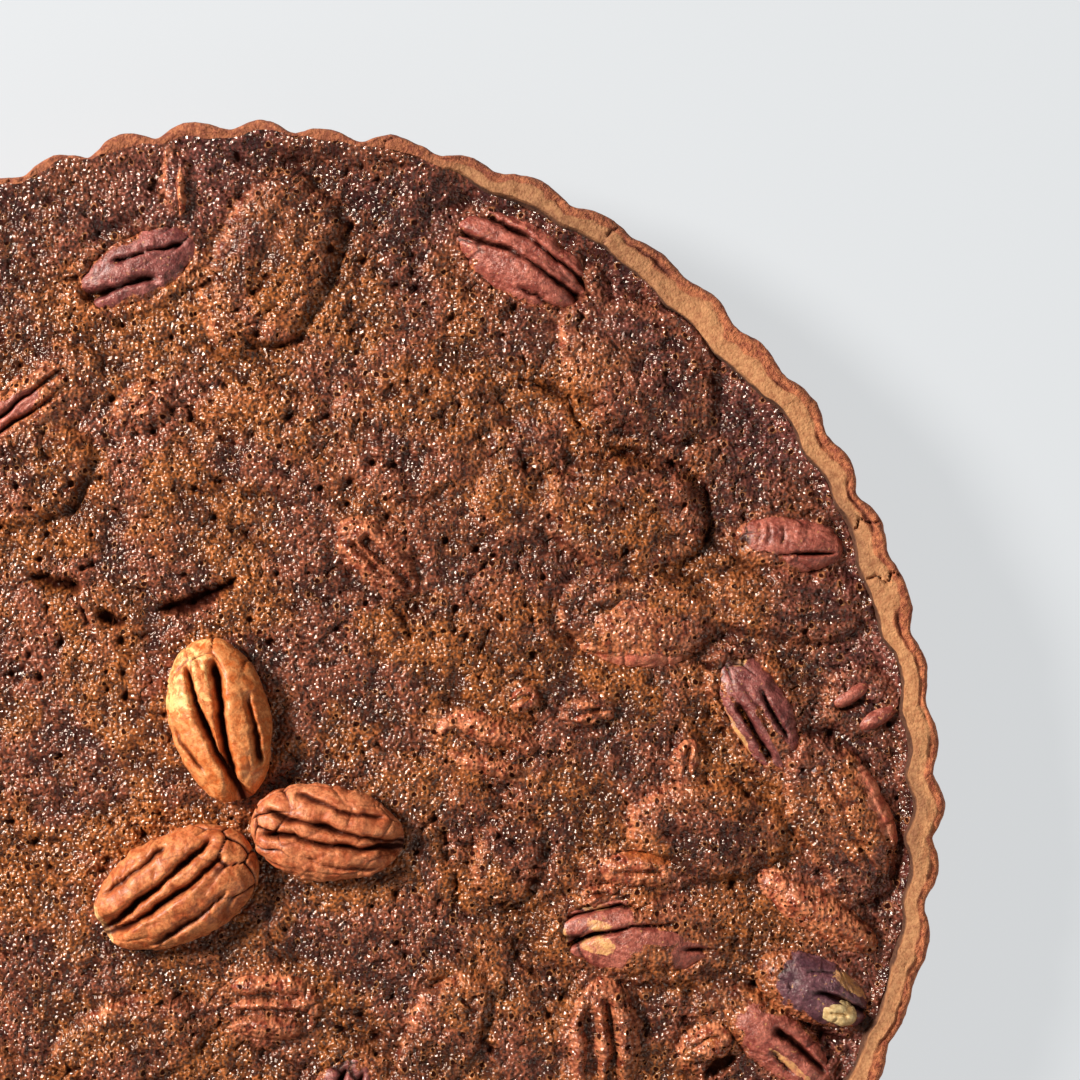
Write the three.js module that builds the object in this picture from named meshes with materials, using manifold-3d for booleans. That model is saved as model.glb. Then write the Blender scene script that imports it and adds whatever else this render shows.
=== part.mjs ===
// A pecan tart, 254 mm across: a fluted shortcrust case filled with dark baked custard, pecan
// halves sunk in the custard and showing through its skin, and three loose halves on top.
// Millimetres, +Z up. The origin is the middle of the flat underside.
import * as THREE from "three";
import { mergeVertices } from "three/addons/utils/BufferGeometryUtils.js";
import Module from "manifold-3d";

const wasm = await Module();
wasm.setup();

// Crust
const RIM_RADIUS = 127;
const BASE_RADIUS = 120;
const RIM_HEIGHT = 25;
const RIM_THICKNESS = 5.5;
const RIM_THINNING = 1.8;
const FLUTES = 60;
const FLUTE_DEPTH = 3.1;
const STEPS_PER_FLUTE = 4;
const FLOOR_THICKNESS = 4;
const FLOOR_RADIUS = 116.5;

// Custard
const CUSTARD_LEVEL = 21.6;
const CUSTARD_DOME = 0.9;
const EDGE_DROP = 0.7;
const OVERRUN_RISE = 3;
const CUSTARD_RINGS = 22;
const CRACK_DEPTH = 4;

// Gap kept between a nut and what it rests on, and between custard and crust.
const GAP = 0.3;
const CRUST_GAP = 0.5;

const COLOURS = {
  crust: 0xc08048,
  custard: 0x4d2c14,
  loosePecan: 0xa8663c,
  bakedPecan: 0x7c3a28,
};

// Arcs of the rim, in degrees, where the custard rose over the crust's inner edge.
const OVERRUNS = [
  { from: 70, to: 128 },
  { from: 196, to: 232 },
  { from: 292, to: 312 },
];
const OVERRUN_BLEND = 7;

// Arcs of the rim where the dough was pressed thicker, as places in degrees, reaches and depths.
const THICK_DOUGH = [
  { at: 21, reach: 10, depth: 1.5 },
  { at: 45, reach: 17, depth: 1.3 },
  { at: 163, reach: 14, depth: 1.2 },
  { at: 262, reach: 18, depth: 1.4 },
];

// Pecan halves on top. heading is the direction of the closed end, in degrees from +X.
const LOOSE_NUTS = [
  { x: -7.4, y: 15.4, heading: 103, length: 30.9, width: 18.6, thick: 8.4 },
  { x: 12.3, y: -5.4, heading: 173, length: 28.5, width: 17.7, thick: 8 },
  { x: -15.6, y: -15.8, heading: 25, length: 32.1, width: 20.4, thick: 8.6 },
];

// Pecan halves in the custard. rise is how far the top stands over the custard's level, shown is
// how far it stands clear of the skin, and cover moves the skin's mound along and across the nut.
// thick is given where it isn't USUAL_THICKNESS.
const USUAL_THICKNESS = 7.8;
const SUNK_NUTS = [
  { x: -23, y: 99.4, heading: 27, length: 27, width: 14.5, rise: 2.3, shown: 1.5 },
  { x: 48.6, y: 100.6, heading: 151, length: 29.4, width: 15, thick: 8.4, rise: 3.3, shown: 2.7 },
  { x: 98, y: 47.9, heading: 175, length: 22.2, width: 10.8, thick: 6.8, rise: 3.1, shown: 2.4 },
  { x: 92.5, y: 16.6, heading: 119, length: 26.6, width: 13.4, rise: 2.7, shown: 1.6 },
  { x: 109.7, y: -2.2, heading: 115, length: 28.8, width: 15, thick: 8.4, rise: 3.6, shown: 1.3, cover: [0, 2.2] },
  { x: 69.4, y: -25.2, heading: 173, length: 31.2, width: 15.6, thick: 8.2, rise: 3.1, shown: 1.9 },
  { x: 69.9, y: -12.4, heading: 175, length: 19, width: 7.6, thick: 6.4, rise: 2.3, shown: 1.5 },
  { x: 102.6, y: -34.8, heading: 154, length: 23, width: 12.6, rise: 4.4, shown: 3.5 },
  { x: 95.2, y: -44.2, heading: 140, length: 29, width: 12.2, rise: 3, shown: 1.7, cover: [0, 1.4] },
  { x: 103.5, y: -20.4, heading: 148, length: 27.6, width: 9.4, thick: 7, rise: 2.6, shown: 1.2 },
  { x: 70.4, y: 32, heading: 177, length: 26.4, width: 15, rise: 2.7, shown: 0.9, cover: [0, -2.2] },
  { x: 21.7, y: 45.8, heading: 136, length: 20.4, width: 8.4, thick: 6.6, rise: 1.8, shown: 1.2 },
  { x: 42.3, y: 10.5, heading: 162, length: 23, width: 9.8, thick: 7, rise: 1.8, shown: 1.1 },
  { x: -44, y: 73.5, heading: 35, length: 28, width: 14, rise: 2.5, shown: 1.5 },
  { x: 1.3, y: -38, heading: 2, length: 21, width: 12, thick: 7.4, rise: 1.8, shown: 1.1 },
  { x: 63.6, y: -45.6, heading: 91, length: 26, width: 14.2, rise: 2.5, shown: 1.1 },
];

// Pecan pieces wholly under the skin, which only lift it.
const COVERED_NUTS = [
  { x: 1.7, y: 100.5, heading: 64, length: 30.6, width: 19, rise: 2.7 },
  { x: 67.6, y: 53.4, heading: -8, length: 28, width: 18, rise: 2.5 },
  { x: 70.4, y: 81.3, heading: -38, length: 29, width: 20, rise: 2.2 },
  { x: 82.8, y: -5.1, heading: 178, length: 25.4, width: 15.8, rise: 2.7 },
  { x: 98.2, y: 36.7, heading: -3, length: 28, width: 11.6, rise: 1.8 },
  { x: -21.7, y: 73.9, heading: 40, length: 10.4, width: 8, rise: 1.3 },
  { x: 48.4, y: 19, heading: 20, length: 7.4, width: 6.2, rise: 1.5 },
  { x: 61.1, y: 16.8, heading: 8, length: 10, width: 5.6, rise: 1.1 },
  { x: 45.8, y: -10.7, heading: 70, length: 16, width: 11, rise: 1.6 },
  { x: 33.6, y: -43.8, heading: 62, length: 24, width: 12, rise: 1.8 },
  { x: -24.4, y: -44.5, heading: 14, length: 24.4, width: 13, rise: 1.8 },
  { x: -44, y: 61.4, heading: 20, length: 22, width: 16.4, rise: 2.4 },
  { x: 28.9, y: 68.8, heading: 10, length: 30, width: 21, rise: 1.3 },
  { x: 2.9, y: 67, heading: -20, length: 27, width: 18, rise: 1.1 },
  { x: 48, y: 59.9, heading: 75, length: 22, width: 14.6, rise: 1.2 },
  { x: 83.4, y: -46.4, heading: 20, length: 10.6, width: 8.4, rise: 1.8 },
  { x: 79.6, y: 7.9, heading: 88, length: 8.8, width: 6, rise: 1.3 },
  { x: -15.5, y: 114.8, heading: 92, length: 13, width: 4.6, rise: 1.1 },
  { x: 111.6, y: 18.7, heading: 18, length: 12, width: 11, rise: 1.1 },
];

// More of both lie on a golden-angle spiral through the two sides of the tart left free above.
const SPIRAL = { spacing: 12.9, turn: 137.508, count: 74, reach: 106, clearance: 20.9 };
const FREE_SIDES = { left: -56, front: -60 };

// Cracks in the skin: points along each one, and its greatest width.
const CRACKS = [
  { width: 2, points: [[-43, 42.3], [-37.8, 40.6], [-33.4, 39.5]] },
  { width: 2, points: [[-31.1, 35.6], [-27.8, 33.7], [-24.4, 33.7]] },
  { width: 2.6, points: [[-19.4, 35.8], [-14.4, 36.3], [-9.2, 38.6], [-4.7, 41.9]] },
  { width: 1.8, points: [[48, 78.9], [54, 77], [57.3, 74.4], [59.6, 69.2]] },
  { width: 2, points: [[-70.8, -30.8], [-65.3, -35.4], [-63.5, -41.7], [-59, -46.3]] },
  { width: 1.8, points: [[18.1, -79.8], [25.4, -82.5], [33.6, -80.7]] },
];

// Where a nut's section has its points from edge to edge: the two deep grooves beside the middle
// ridge, and the crowns and outer grooves of the lobes. A socket is cut to the smooth outline.
const FINE_SECTION = [1, 0.88, 0.66, 0.42, 0.2, 0, -0.2, -0.42, -0.66, -0.88, -1];
const PLAIN_SECTION = [1, 0.7, 0.38, 0.19, 0, -0.19, -0.38, -0.7, -1];
const SOCKET_SECTION = [1, 0.7, 0, -0.7, -1];

const radians = THREE.MathUtils.degToRad;
const clamp01 = (t) => Math.min(1, Math.max(0, t));
const smooth = (t) => clamp01(t) ** 2 * (3 - 2 * clamp01(t));

function layOutSpiral() {
  const taken = [...SUNK_NUTS, ...COVERED_NUTS];
  for (let i = 1; i < SPIRAL.count; i++) {
    const radius = SPIRAL.spacing * Math.sqrt(i);
    const angle = radians(i * SPIRAL.turn);
    const [x, y] = [radius * Math.cos(angle), radius * Math.sin(angle)];
    const free = x < FREE_SIDES.left || y < FREE_SIDES.front;
    const clear = taken.every((nut) => Math.hypot(nut.x - x, nut.y - y) > SPIRAL.clearance);
    if (!free || !clear || radius > SPIRAL.reach) continue;
    const nut = { x, y, heading: (i * 97) % 360, length: 24.5 + (i % 4) * 1.8, width: 13.6 + (i % 3) * 1.4 };
    taken.push(nut);
    if (i % 5 < 3) COVERED_NUTS.push({ ...nut, rise: 1.5 + (i % 4) * 0.4 });
    else SUNK_NUTS.push({ ...nut, rise: 2.4 + (i % 3) * 0.4, shown: 1.1 + (i % 4) * 0.4 });
  }
}
layOutSpiral();

// Share of the custard's overrun at an angle of the rim.
function overrun(angle) {
  const degrees = (THREE.MathUtils.radToDeg(angle) + 360) % 360;
  const share = ({ from, to }) =>
    smooth((degrees - from) / OVERRUN_BLEND) * smooth((to - degrees) / OVERRUN_BLEND);
  return Math.max(...OVERRUNS.map(share));
}

// One scallop of the case's wall: about 1 at its crown and 0 in the notch beside it.
function scallop(angle) {
  const uneven = 0.16 * Math.sin(angle * 7 + 1) + 0.12 * Math.sin(angle * 13);
  const crown = Math.abs(Math.cos((FLUTES * angle) / 2 + uneven)) ** 0.85;
  return crown * (1 + 0.22 * Math.sin(angle * 11 + 2));
}

// Unevenness of the rim's height.
const rimLift = (angle) => 0.5 * Math.sin(angle * 5 + 0.7) + 0.35 * Math.sin(angle * 17 + 2);

// How much thicker the dough is at an angle of the rim.
function extraDough(angle) {
  const degrees = (THREE.MathUtils.radToDeg(angle) + 360) % 360;
  const press = ({ at, reach, depth }) => depth * smooth(1 - Math.abs(degrees - at) / reach);
  const presses = THICK_DOUGH.map(press);
  return Math.max(...presses) + 0.3 * Math.sin(angle * 9 + 0.4) + 0.25 * Math.sin(angle * 23 + 1);
}

// Inner radius of the crust's wall, which leans out from the floor to the rim.
function innerRadius(z, angle) {
  const up = clamp01((z - FLOOR_THICKNESS) / (RIM_HEIGHT - FLOOR_THICKNESS));
  const atRim = RIM_RADIUS - RIM_THICKNESS + RIM_THINNING * overrun(angle) - extraDough(angle);
  return FLOOR_RADIUS + (atRim - FLOOR_RADIUS) * up;
}

// A lathed section with its wall fluted and its rim made uneven, vertex by vertex.
function crustGeometry() {
  const section = [
    { r: 0, z: 0 },
    { r: BASE_RADIUS, z: 0, flute: 0.35 },
    { r: BASE_RADIUS + 3.2, z: 11.5, flute: 0.8 },
    { r: RIM_RADIUS, z: RIM_HEIGHT - 2.2, flute: 1, lift: 1 },
    { r: RIM_RADIUS - 2, z: RIM_HEIGHT, flute: 0.6, lift: 1 },
    { r: RIM_RADIUS - RIM_THICKNESS, z: RIM_HEIGHT - 0.4, lift: 1, inside: true },
    { r: FLOOR_RADIUS, z: FLOOR_THICKNESS, inside: true },
    { r: 0, z: FLOOR_THICKNESS },
  ];
  const profile = section.map(({ r, z }) => new THREE.Vector2(r, z));
  const geometry = new THREE.LatheGeometry(profile, FLUTES * STEPS_PER_FLUTE).rotateX(Math.PI / 2);
  const position = geometry.getAttribute("position");
  for (let i = 0; i < position.count; i++) {
    const { r, z, flute = 0, lift = 0, inside } = section[i % section.length];
    if (r === 0) continue;
    const angle = Math.atan2(position.getY(i), position.getX(i));
    const radius = inside ? innerRadius(z, angle) : r - flute * FLUTE_DEPTH * (1 - scallop(angle));
    position.setXYZ(i, radius * Math.cos(angle), radius * Math.sin(angle), z + lift * rimLift(angle));
  }
  return geometry;
}

// How far out a point is on a nut's oval: 0 in its middle, 1 at its outline.
function ovalDistance(nut, x, y, grow = 1) {
  const turn = radians(nut.heading);
  const [dx, dy] = [x - nut.x, y - nut.y];
  const [along, across] = nut.cover ?? [0, 0];
  const u = dx * Math.cos(turn) + dy * Math.sin(turn) - along;
  const v = dy * Math.cos(turn) - dx * Math.sin(turn) - across;
  return Math.hypot((2 * u) / (nut.length * grow), (2 * v) / (nut.width * grow));
}

// The custard's level before the nuts lift it.
function custardLevel(x, y) {
  const radius = Math.hypot(x, y);
  const toEdge = smooth((radius - 98) / 22);
  const swell = 0.35 * Math.sin(x / 17 + 1.3) * Math.cos(y / 21 - 0.4) + 0.3 * Math.sin((x + y) / 13 + 2);
  const dome = CUSTARD_DOME * Math.cos((radius / RIM_RADIUS) * (Math.PI / 2));
  return CUSTARD_LEVEL + dome + swell + toEdge * (OVERRUN_RISE * overrun(Math.atan2(y, x)) - EDGE_DROP);
}

// Heights of the flat side of a loose nut and of a sunk one.
const seatLevel = (nut) => custardLevel(nut.x, nut.y) - 0.2;
const sunkBase = ({ x, y, rise, thick = USUAL_THICKNESS }) => custardLevel(x, y) + rise - thick;

// The custard's skin, raised over every nut under it and level under the loose ones.
function custardTop(x, y) {
  const mounds = [...COVERED_NUTS, ...SUNK_NUTS].map((nut) => {
    const out = ovalDistance(nut, x, y, 1.18);
    return out < 1 ? (nut.rise - (nut.shown ?? 0)) * (1 - out ** 2) ** 0.8 : 0;
  });
  const lifted = custardLevel(x, y) + mounds.reduce((sum, height) => sum + height ** 4, 0) ** 0.25;
  return LOOSE_NUTS.reduce((z, nut) => {
    const seat = smooth((1.6 - ovalDistance(nut, x, y)) / 0.35);
    return z + (seatLevel(nut) - z) * seat;
  }, lifted);
}

// Radius of the skin's edge at an angle of the rim.
function skinRadius(angle) {
  const level = custardLevel(FLOOR_RADIUS * Math.cos(angle), FLOOR_RADIUS * Math.sin(angle));
  return innerRadius(level, angle) - CRUST_GAP;
}

// The body of custard: rings of evenly spaced points over the top, then a side and a flat
// underside that follow the inside of the crust.
function custardBody() {
  const points = [new THREE.Vector3(0, 0, custardTop(0, 0))];
  const faces = [];
  const firstOf = (ring) => (ring === 0 ? 0 : 1 + 3 * ring * (ring - 1));
  const countOf = (ring) => Math.max(1, 6 * ring);
  for (let ring = 1; ring <= CUSTARD_RINGS; ring++) {
    for (let i = 0; i < countOf(ring); i++) {
      const angle = (2 * Math.PI * i) / countOf(ring);
      const radius = (skinRadius(angle) * ring) / CUSTARD_RINGS;
      const [x, y] = [radius * Math.cos(angle), radius * Math.sin(angle)];
      points.push(new THREE.Vector3(x, y, custardTop(x, y)));
    }
    for (let side = 0; side < 6; side++) {
      const outer = (step) => firstOf(ring) + ((side * ring + step) % countOf(ring));
      const inner = (step) => firstOf(ring - 1) + ((side * (ring - 1) + step) % countOf(ring - 1));
      for (let k = 0; k < ring; k++) {
        faces.push(inner(k), outer(k), outer(k + 1));
        if (k < ring - 1) faces.push(inner(k), outer(k + 1), inner(k + 1));
      }
    }
  }
  const [edge, count] = [firstOf(CUSTARD_RINGS), countOf(CUSTARD_RINGS)];
  const under = points.length;
  const bottom = FLOOR_THICKNESS + GAP;
  for (let i = 0; i < count; i++) {
    const angle = (2 * Math.PI * i) / count;
    const radius = innerRadius(bottom, angle) - CRUST_GAP;
    points.push(new THREE.Vector3(radius * Math.cos(angle), radius * Math.sin(angle), bottom));
    const next = (i + 1) % count;
    faces.push(edge + i, under + i, under + next, edge + i, under + next, edge + next);
    if (i > 0 && i < count - 1) faces.push(under, under + i + 1, under + i);
  }
  return new THREE.BufferGeometry().setFromPoints(points).setIndex(faces);
}

// Height of a pecan half over its flat side, as a share of its thickness.
function nutHeight(u, v, grooved) {
  const round = Math.sqrt(1 - clamp01(Math.abs(v)) ** 2.6);
  if (!grooved) return round;
  const closed = smooth((0.95 - u) / 0.3);
  const deepGroove = 0.34 * closed * Math.exp(-(((Math.abs(v) - 0.195) / 0.075) ** 2));
  const lowRidge = (0.05 + 0.13 * (1 - u)) * closed * Math.exp(-((v / 0.15) ** 2));
  const outerGroove = 0.09 * Math.exp(-(((Math.abs(v) - 0.66) / 0.1) ** 2));
  return round - deepGroove - lowRidge - outerGroove;
}

// A closed solid from rings of points, with fans at its ends. Seen from the last ring, each ring
// goes round anticlockwise.
function loft(rings) {
  const points = rings.flat();
  const count = rings[0].length;
  const last = points.length - count;
  const faces = [];
  for (let start = 0; start < last; start += count) {
    for (let i = 0; i < count; i++) {
      const [a, b] = [start + i, start + ((i + 1) % count)];
      faces.push(a, b, b + count, a, b + count, a + count);
    }
  }
  for (let i = 1; i < count - 1; i++) {
    faces.push(0, i + 1, i, last, last + i, last + i + 1);
  }
  return new THREE.BufferGeometry().setFromPoints(points).setIndex(faces);
}

// A pecan half on its flat side, its length along X, closed at +X and notched at -X.
function nutGeometry({ length, width, thick = USUAL_THICKNESS }, across, stations, grooved = true) {
  const rings = Array.from({ length: stations + 1 }, (_, i) => {
    const u = -0.985 * Math.cos((Math.PI * i) / stations);
    const halfWidth = (width / 2) * (1 - Math.abs(u) ** 2.5) ** 0.5 * (1 + 0.05 * u);
    const height = thick * (1 - Math.abs(u) ** 3) ** 0.5;
    const top = across.map((v) => {
      const notch = grooved ? 0.1 * clamp01(-u) ** 4 * Math.exp(-((v / 0.25) ** 2)) : 0;
      const z = Math.max(0.1, height * nutHeight(u, v, grooved));
      return new THREE.Vector3((length / 2) * u * (1 - notch), halfWidth * v, z);
    });
    const flat = [-0.6, 0.6].map((v) => new THREE.Vector3((length / 2) * u * 0.96, halfWidth * v, 0));
    return [...top, ...flat];
  });
  return loft(rings);
}

// A crack as a prism, pointed at both ends, that reaches down through the skin.
function crackGeometry({ points, width }) {
  const line = new THREE.SplineCurve(points.map(([x, y]) => new THREE.Vector2(x, y)));
  const steps = 6;
  const edge = (side) => (_, i) => {
    const t = i / steps;
    const along = line.getTangent(t);
    const half = (width / 2) * Math.sin(Math.PI * t) ** 0.7 * (1 + 0.25 * Math.sin(9 * t + width));
    return line.getPoint(t).add(new THREE.Vector2(-along.y, along.x).multiplyScalar(side * half));
  };
  const sides = [1, -1].map((side) => Array.from({ length: steps + 1 }, edge(side)));
  const outline = new THREE.Shape([...sides[0].slice(0, -1), ...sides[1].reverse().slice(0, -1)]);
  const bottom = custardTop(...points[1]) - CRACK_DEPTH;
  return new THREE.ExtrudeGeometry(outline, { depth: 12, bevelEnabled: false }).translate(0, 0, bottom);
}

// A named piece with its own material, placed by its position and its turn about Z.
function piece(name, geometry, color, roughness, at = {}) {
  const { x = 0, y = 0, z = 0, heading = 0 } = at;
  const made = new THREE.Mesh(geometry, new THREE.MeshStandardMaterial({ color, roughness, metalness: 0 }));
  made.name = name;
  made.position.set(x, y, z);
  made.rotation.z = radians(heading);
  made.updateMatrix();
  return made;
}

// A three.js geometry as a manifold solid.
function solid(geometry) {
  const bare = geometry.clone();
  bare.deleteAttribute("normal");
  bare.deleteAttribute("uv");
  const merged = mergeVertices(bare, 1e-3);
  const vertProperties = merged.getAttribute("position").array;
  return new wasm.Manifold(
    new wasm.Mesh({ numProp: 3, vertProperties, triVerts: new Uint32Array(merged.index.array) }),
  );
}

// The custard with a socket cut for every sunk nut and its cracks opened.
function custardGeometry() {
  const sockets = SUNK_NUTS.map((nut) => {
    const { length, width, thick = USUAL_THICKNESS } = nut;
    const grown = { length: length + 1.8, width: width + 1.6, thick: thick + 1.2 };
    const at = { ...nut, z: sunkBase(nut) - 0.4 };
    const cutter = piece("socket", nutGeometry(grown, SOCKET_SECTION, 4, false), 0, 1, at);
    return cutter.geometry.applyMatrix4(cutter.matrix);
  });
  const cutters = [...sockets, ...CRACKS.map(crackGeometry)];
  const cut = cutters.reduce((body, cutter) => body.subtract(solid(cutter)), solid(custardBody()));
  const { vertProperties, triVerts } = cut.getMesh();
  return new THREE.BufferGeometry()
    .setAttribute("position", new THREE.BufferAttribute(vertProperties, 3))
    .setIndex(new THREE.BufferAttribute(triVerts, 1));
}

const numbered = (word, i) => `${word}_${String(i + 1).padStart(2, "0")}`;

const tart = new THREE.Group();
tart.add(piece("crust", crustGeometry(), COLOURS.crust, 0.8));
tart.add(piece("custard", custardGeometry(), COLOURS.custard, 0.35));
LOOSE_NUTS.forEach((nut, i) => {
  const geometry = nutGeometry(nut, FINE_SECTION, 9);
  const at = { ...nut, z: seatLevel(nut) + GAP };
  tart.add(piece(numbered("loose_pecan", i), geometry, COLOURS.loosePecan, 0.6, at));
});
SUNK_NUTS.forEach((nut, i) => {
  const geometry = nutGeometry(nut, PLAIN_SECTION, 4);
  const at = { ...nut, z: sunkBase(nut) };
  tart.add(piece(numbered("sunk_pecan", i), geometry, COLOURS.bakedPecan, 0.5, at));
});

export default tart;
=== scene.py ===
# A pecan tart: a fluted shortcrust case, dark bubbled custard, pecan halves baked into it and
# three loose toasted halves on top. Lengths are millimetres until a mesh is finished, and angles
# round the tart are radians from +X.
import itertools
import math

import bmesh
import bpy
import numpy as np
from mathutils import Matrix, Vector


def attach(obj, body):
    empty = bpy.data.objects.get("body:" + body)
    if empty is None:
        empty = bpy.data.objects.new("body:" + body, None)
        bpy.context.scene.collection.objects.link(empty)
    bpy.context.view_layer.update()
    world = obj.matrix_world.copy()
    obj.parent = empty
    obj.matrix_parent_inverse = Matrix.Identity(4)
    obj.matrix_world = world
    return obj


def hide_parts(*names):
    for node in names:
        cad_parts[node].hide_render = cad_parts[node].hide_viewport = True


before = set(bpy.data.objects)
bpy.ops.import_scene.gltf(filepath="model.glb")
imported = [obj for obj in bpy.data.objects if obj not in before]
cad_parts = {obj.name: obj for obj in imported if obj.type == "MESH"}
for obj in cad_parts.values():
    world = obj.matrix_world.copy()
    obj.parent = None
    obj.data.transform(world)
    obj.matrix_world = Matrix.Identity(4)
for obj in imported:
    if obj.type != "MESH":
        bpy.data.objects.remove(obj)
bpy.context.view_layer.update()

MM = 0.001
TAU = 2 * math.pi

# ---------------------------------------------------------------- sizes shared with the solids

BASE_RADIUS = 120
RIM_RADIUS = 127
RIM_HEIGHT = 25
RIM_THICKNESS = 5.5
RIM_THINNING = 1.8
FLUTES = 60
FLUTE_DEPTH = 3.1
FLOOR_THICKNESS = 4
FLOOR_RADIUS = 116.5
CUSTARD_LEVEL = 21.6
CUSTARD_DOME = 0.9
EDGE_DROP = 0.7
OVERRUN_RISE = 3
OVERRUN_BLEND = 7
CRUST_GAP = 0.5
USUAL_THICKNESS = 7.8

# The rim's section: middle and half sizes of its outer rounding, and the width of its top.
ROUNDING_RADIUS = 125.6
ROUNDING_LEVEL = 23.2
ROUNDING_WIDTH = 1.4
ROUNDING_HEIGHT = 1.8
RIM_TOP_WIDTH = 3.7

# Arcs in degrees where the custard rose over the crust's inner edge.
OVERRUNS = [(70, 128), (196, 232), (292, 312)]

# Where the dough was pressed thicker: place and reach in degrees, and depth.
THICK_DOUGH = [(21, 10, 1.5), (45, 17, 1.3), (163, 14, 1.2), (262, 18, 1.4)]

# A pecan half: its middle, the heading of its closed end in degrees, its length and its width. A
# sunk one also says how high it rises over the custard, how much of that shows bare of the skin,
# and how far the skin's mound lies to its left.
LOOSE_NUTS = [
    dict(x=-7.4, y=15.4, heading=103, length=30.9, width=18.6, thick=8.4),
    dict(x=12.3, y=-5.4, heading=173, length=28.5, width=17.7, thick=8),
    dict(x=-15.6, y=-15.8, heading=25, length=32.1, width=20.4, thick=8.6),
]
SUNK_NUTS = [
    dict(x=-23, y=99.4, heading=27, length=27, width=14.5, rise=2.3, shown=1.5),
    dict(x=48.6, y=100.6, heading=151, length=29.4, width=15, thick=8.4, rise=3.3, shown=2.7),
    dict(x=98, y=47.9, heading=175, length=22.2, width=10.8, thick=6.8, rise=3.1, shown=2.4),
    dict(x=92.5, y=16.6, heading=119, length=26.6, width=13.4, rise=2.7, shown=1.6),
    dict(x=109.7, y=-2.2, heading=115, length=28.8, width=15, thick=8.4, rise=3.6, shown=1.3, cover=2.2),
    dict(x=69.4, y=-25.2, heading=173, length=31.2, width=15.6, thick=8.2, rise=3.1, shown=1.9),
    dict(x=69.9, y=-12.4, heading=175, length=19, width=7.6, thick=6.4, rise=2.3, shown=1.5),
    dict(x=102.6, y=-34.8, heading=154, length=23, width=12.6, rise=4.4, shown=3.5),
    dict(x=95.2, y=-44.2, heading=140, length=29, width=12.2, rise=3, shown=1.7, cover=1.4),
    dict(x=103.5, y=-20.4, heading=148, length=27.6, width=8.4, thick=7, rise=3.4, shown=2.9),
    dict(x=70.4, y=32, heading=177, length=26.4, width=15, rise=3, shown=1.1, cover=-3.2),
    dict(x=21.7, y=45.8, heading=136, length=20.4, width=10, thick=6.8, rise=2.9, shown=2.5),
    dict(x=42.3, y=10.5, heading=162, length=23, width=12, thick=7.4, rise=3.2, shown=2.8),
    dict(x=-44, y=73.5, heading=35, length=28, width=14, rise=2.5, shown=1.5),
    dict(x=1.3, y=-38, heading=2, length=21, width=13.8, thick=7.8, rise=3.4, shown=3),
    dict(x=63.6, y=-45.6, heading=91, length=26, width=14.4, rise=3.6, shown=3),
]
COVERED_NUTS = [
    dict(zip(("x", "y", "heading", "length", "width", "rise"), row))
    for row in [
        (1.7, 100.5, 64, 30.6, 19, 2.7),
        (67.6, 53.4, -8, 28, 18, 2.5),
        (70.4, 81.3, -38, 29, 20, 2.2),
        (82.8, -5.1, 178, 25.4, 15.8, 2.7),
        (98.2, 36.7, -3, 28, 11.6, 1.8),
        (-21.7, 73.9, 40, 10.4, 8, 1.3),
        (48.4, 19, 20, 7.4, 6.2, 1.5),
        (61.1, 16.8, 8, 10, 5.6, 1.1),
        (45.8, -10.7, 70, 16, 11, 1.6),
        (33.6, -43.8, 62, 24, 12, 1.8),
        (-24.4, -44.5, 14, 24.4, 13, 1.8),
        (-44, 61.4, 20, 22, 16.4, 2.4),
        (28.9, 68.8, 10, 30, 21, 1.3),
        (2.9, 67, -20, 27, 18, 1.1),
        (48, 59.9, 75, 22, 14.6, 1.2),
        (83.4, -46.4, 20, 10.6, 8.4, 1.8),
        (79.6, 7.9, 88, 8.8, 6, 1.3),
        (-15.5, 114.8, 92, 13, 4.6, 1.1),
        (111.6, 18.7, 18, 12, 11, 1.1),
    ]
]

# More sunk and covered halves lie on a golden-angle spiral through the two sides left free above.
SPIRAL_SPACING = 12.9
SPIRAL_TURN = 137.508
SPIRAL_COUNT = 74
SPIRAL_REACH = 106
SPIRAL_CLEARANCE = 20.9
FREE_LEFT = -56
FREE_FRONT = -60

# Cracks in the skin: greatest width, and points along each one.
CRACKS = [
    (2, [(-43, 42.3), (-37.8, 40.6), (-33.4, 39.5)]),
    (2, [(-31.1, 35.6), (-27.8, 33.7), (-24.4, 33.7)]),
    (2.6, [(-19.4, 35.8), (-14.4, 36.3), (-9.2, 38.6), (-4.7, 41.9)]),
    (1.1, [(48, 78.9), (54, 77), (57.3, 74.4), (59.6, 69.2)]),
    (2, [(-70.8, -30.8), (-65.3, -35.4), (-63.5, -41.7), (-59, -46.3)]),
    (1.8, [(18.1, -79.8), (25.4, -82.5), (33.6, -80.7)]),
]

# More cracks and open hollows that only the skin has.
FINE_CRACKS = [
    (0.9, [(79.6, 61.8), (83, 58.1), (83.7, 52.5), (82.4, 47.8)]),
    (0.8, [(60, 68.4), (64, 66.2), (71, 64.4), (79, 62.4)]),
    (3.2, [(82.6, -51), (85.6, -48.8), (87.8, -47.8)]),
    (2.4, [(91.4, -33.6), (96, -36.8)]),
    (1.6, [(101, -40.6), (107, -44)]),
    (1.4, [(106.6, 17), (109.4, 17.7), (112.2, 19)]),
    (1, [(22, 38), (26.5, 34), (28, 29.5)]),
    (0.9, [(-8, 88), (-1, 84.6), (5, 85), (9.6, 88)]),
    (1.4, [(90.6, 22.4), (92, 27)]),
    (1, [(33.6, -8), (36.2, -15), (36, -20)]),
]

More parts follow.
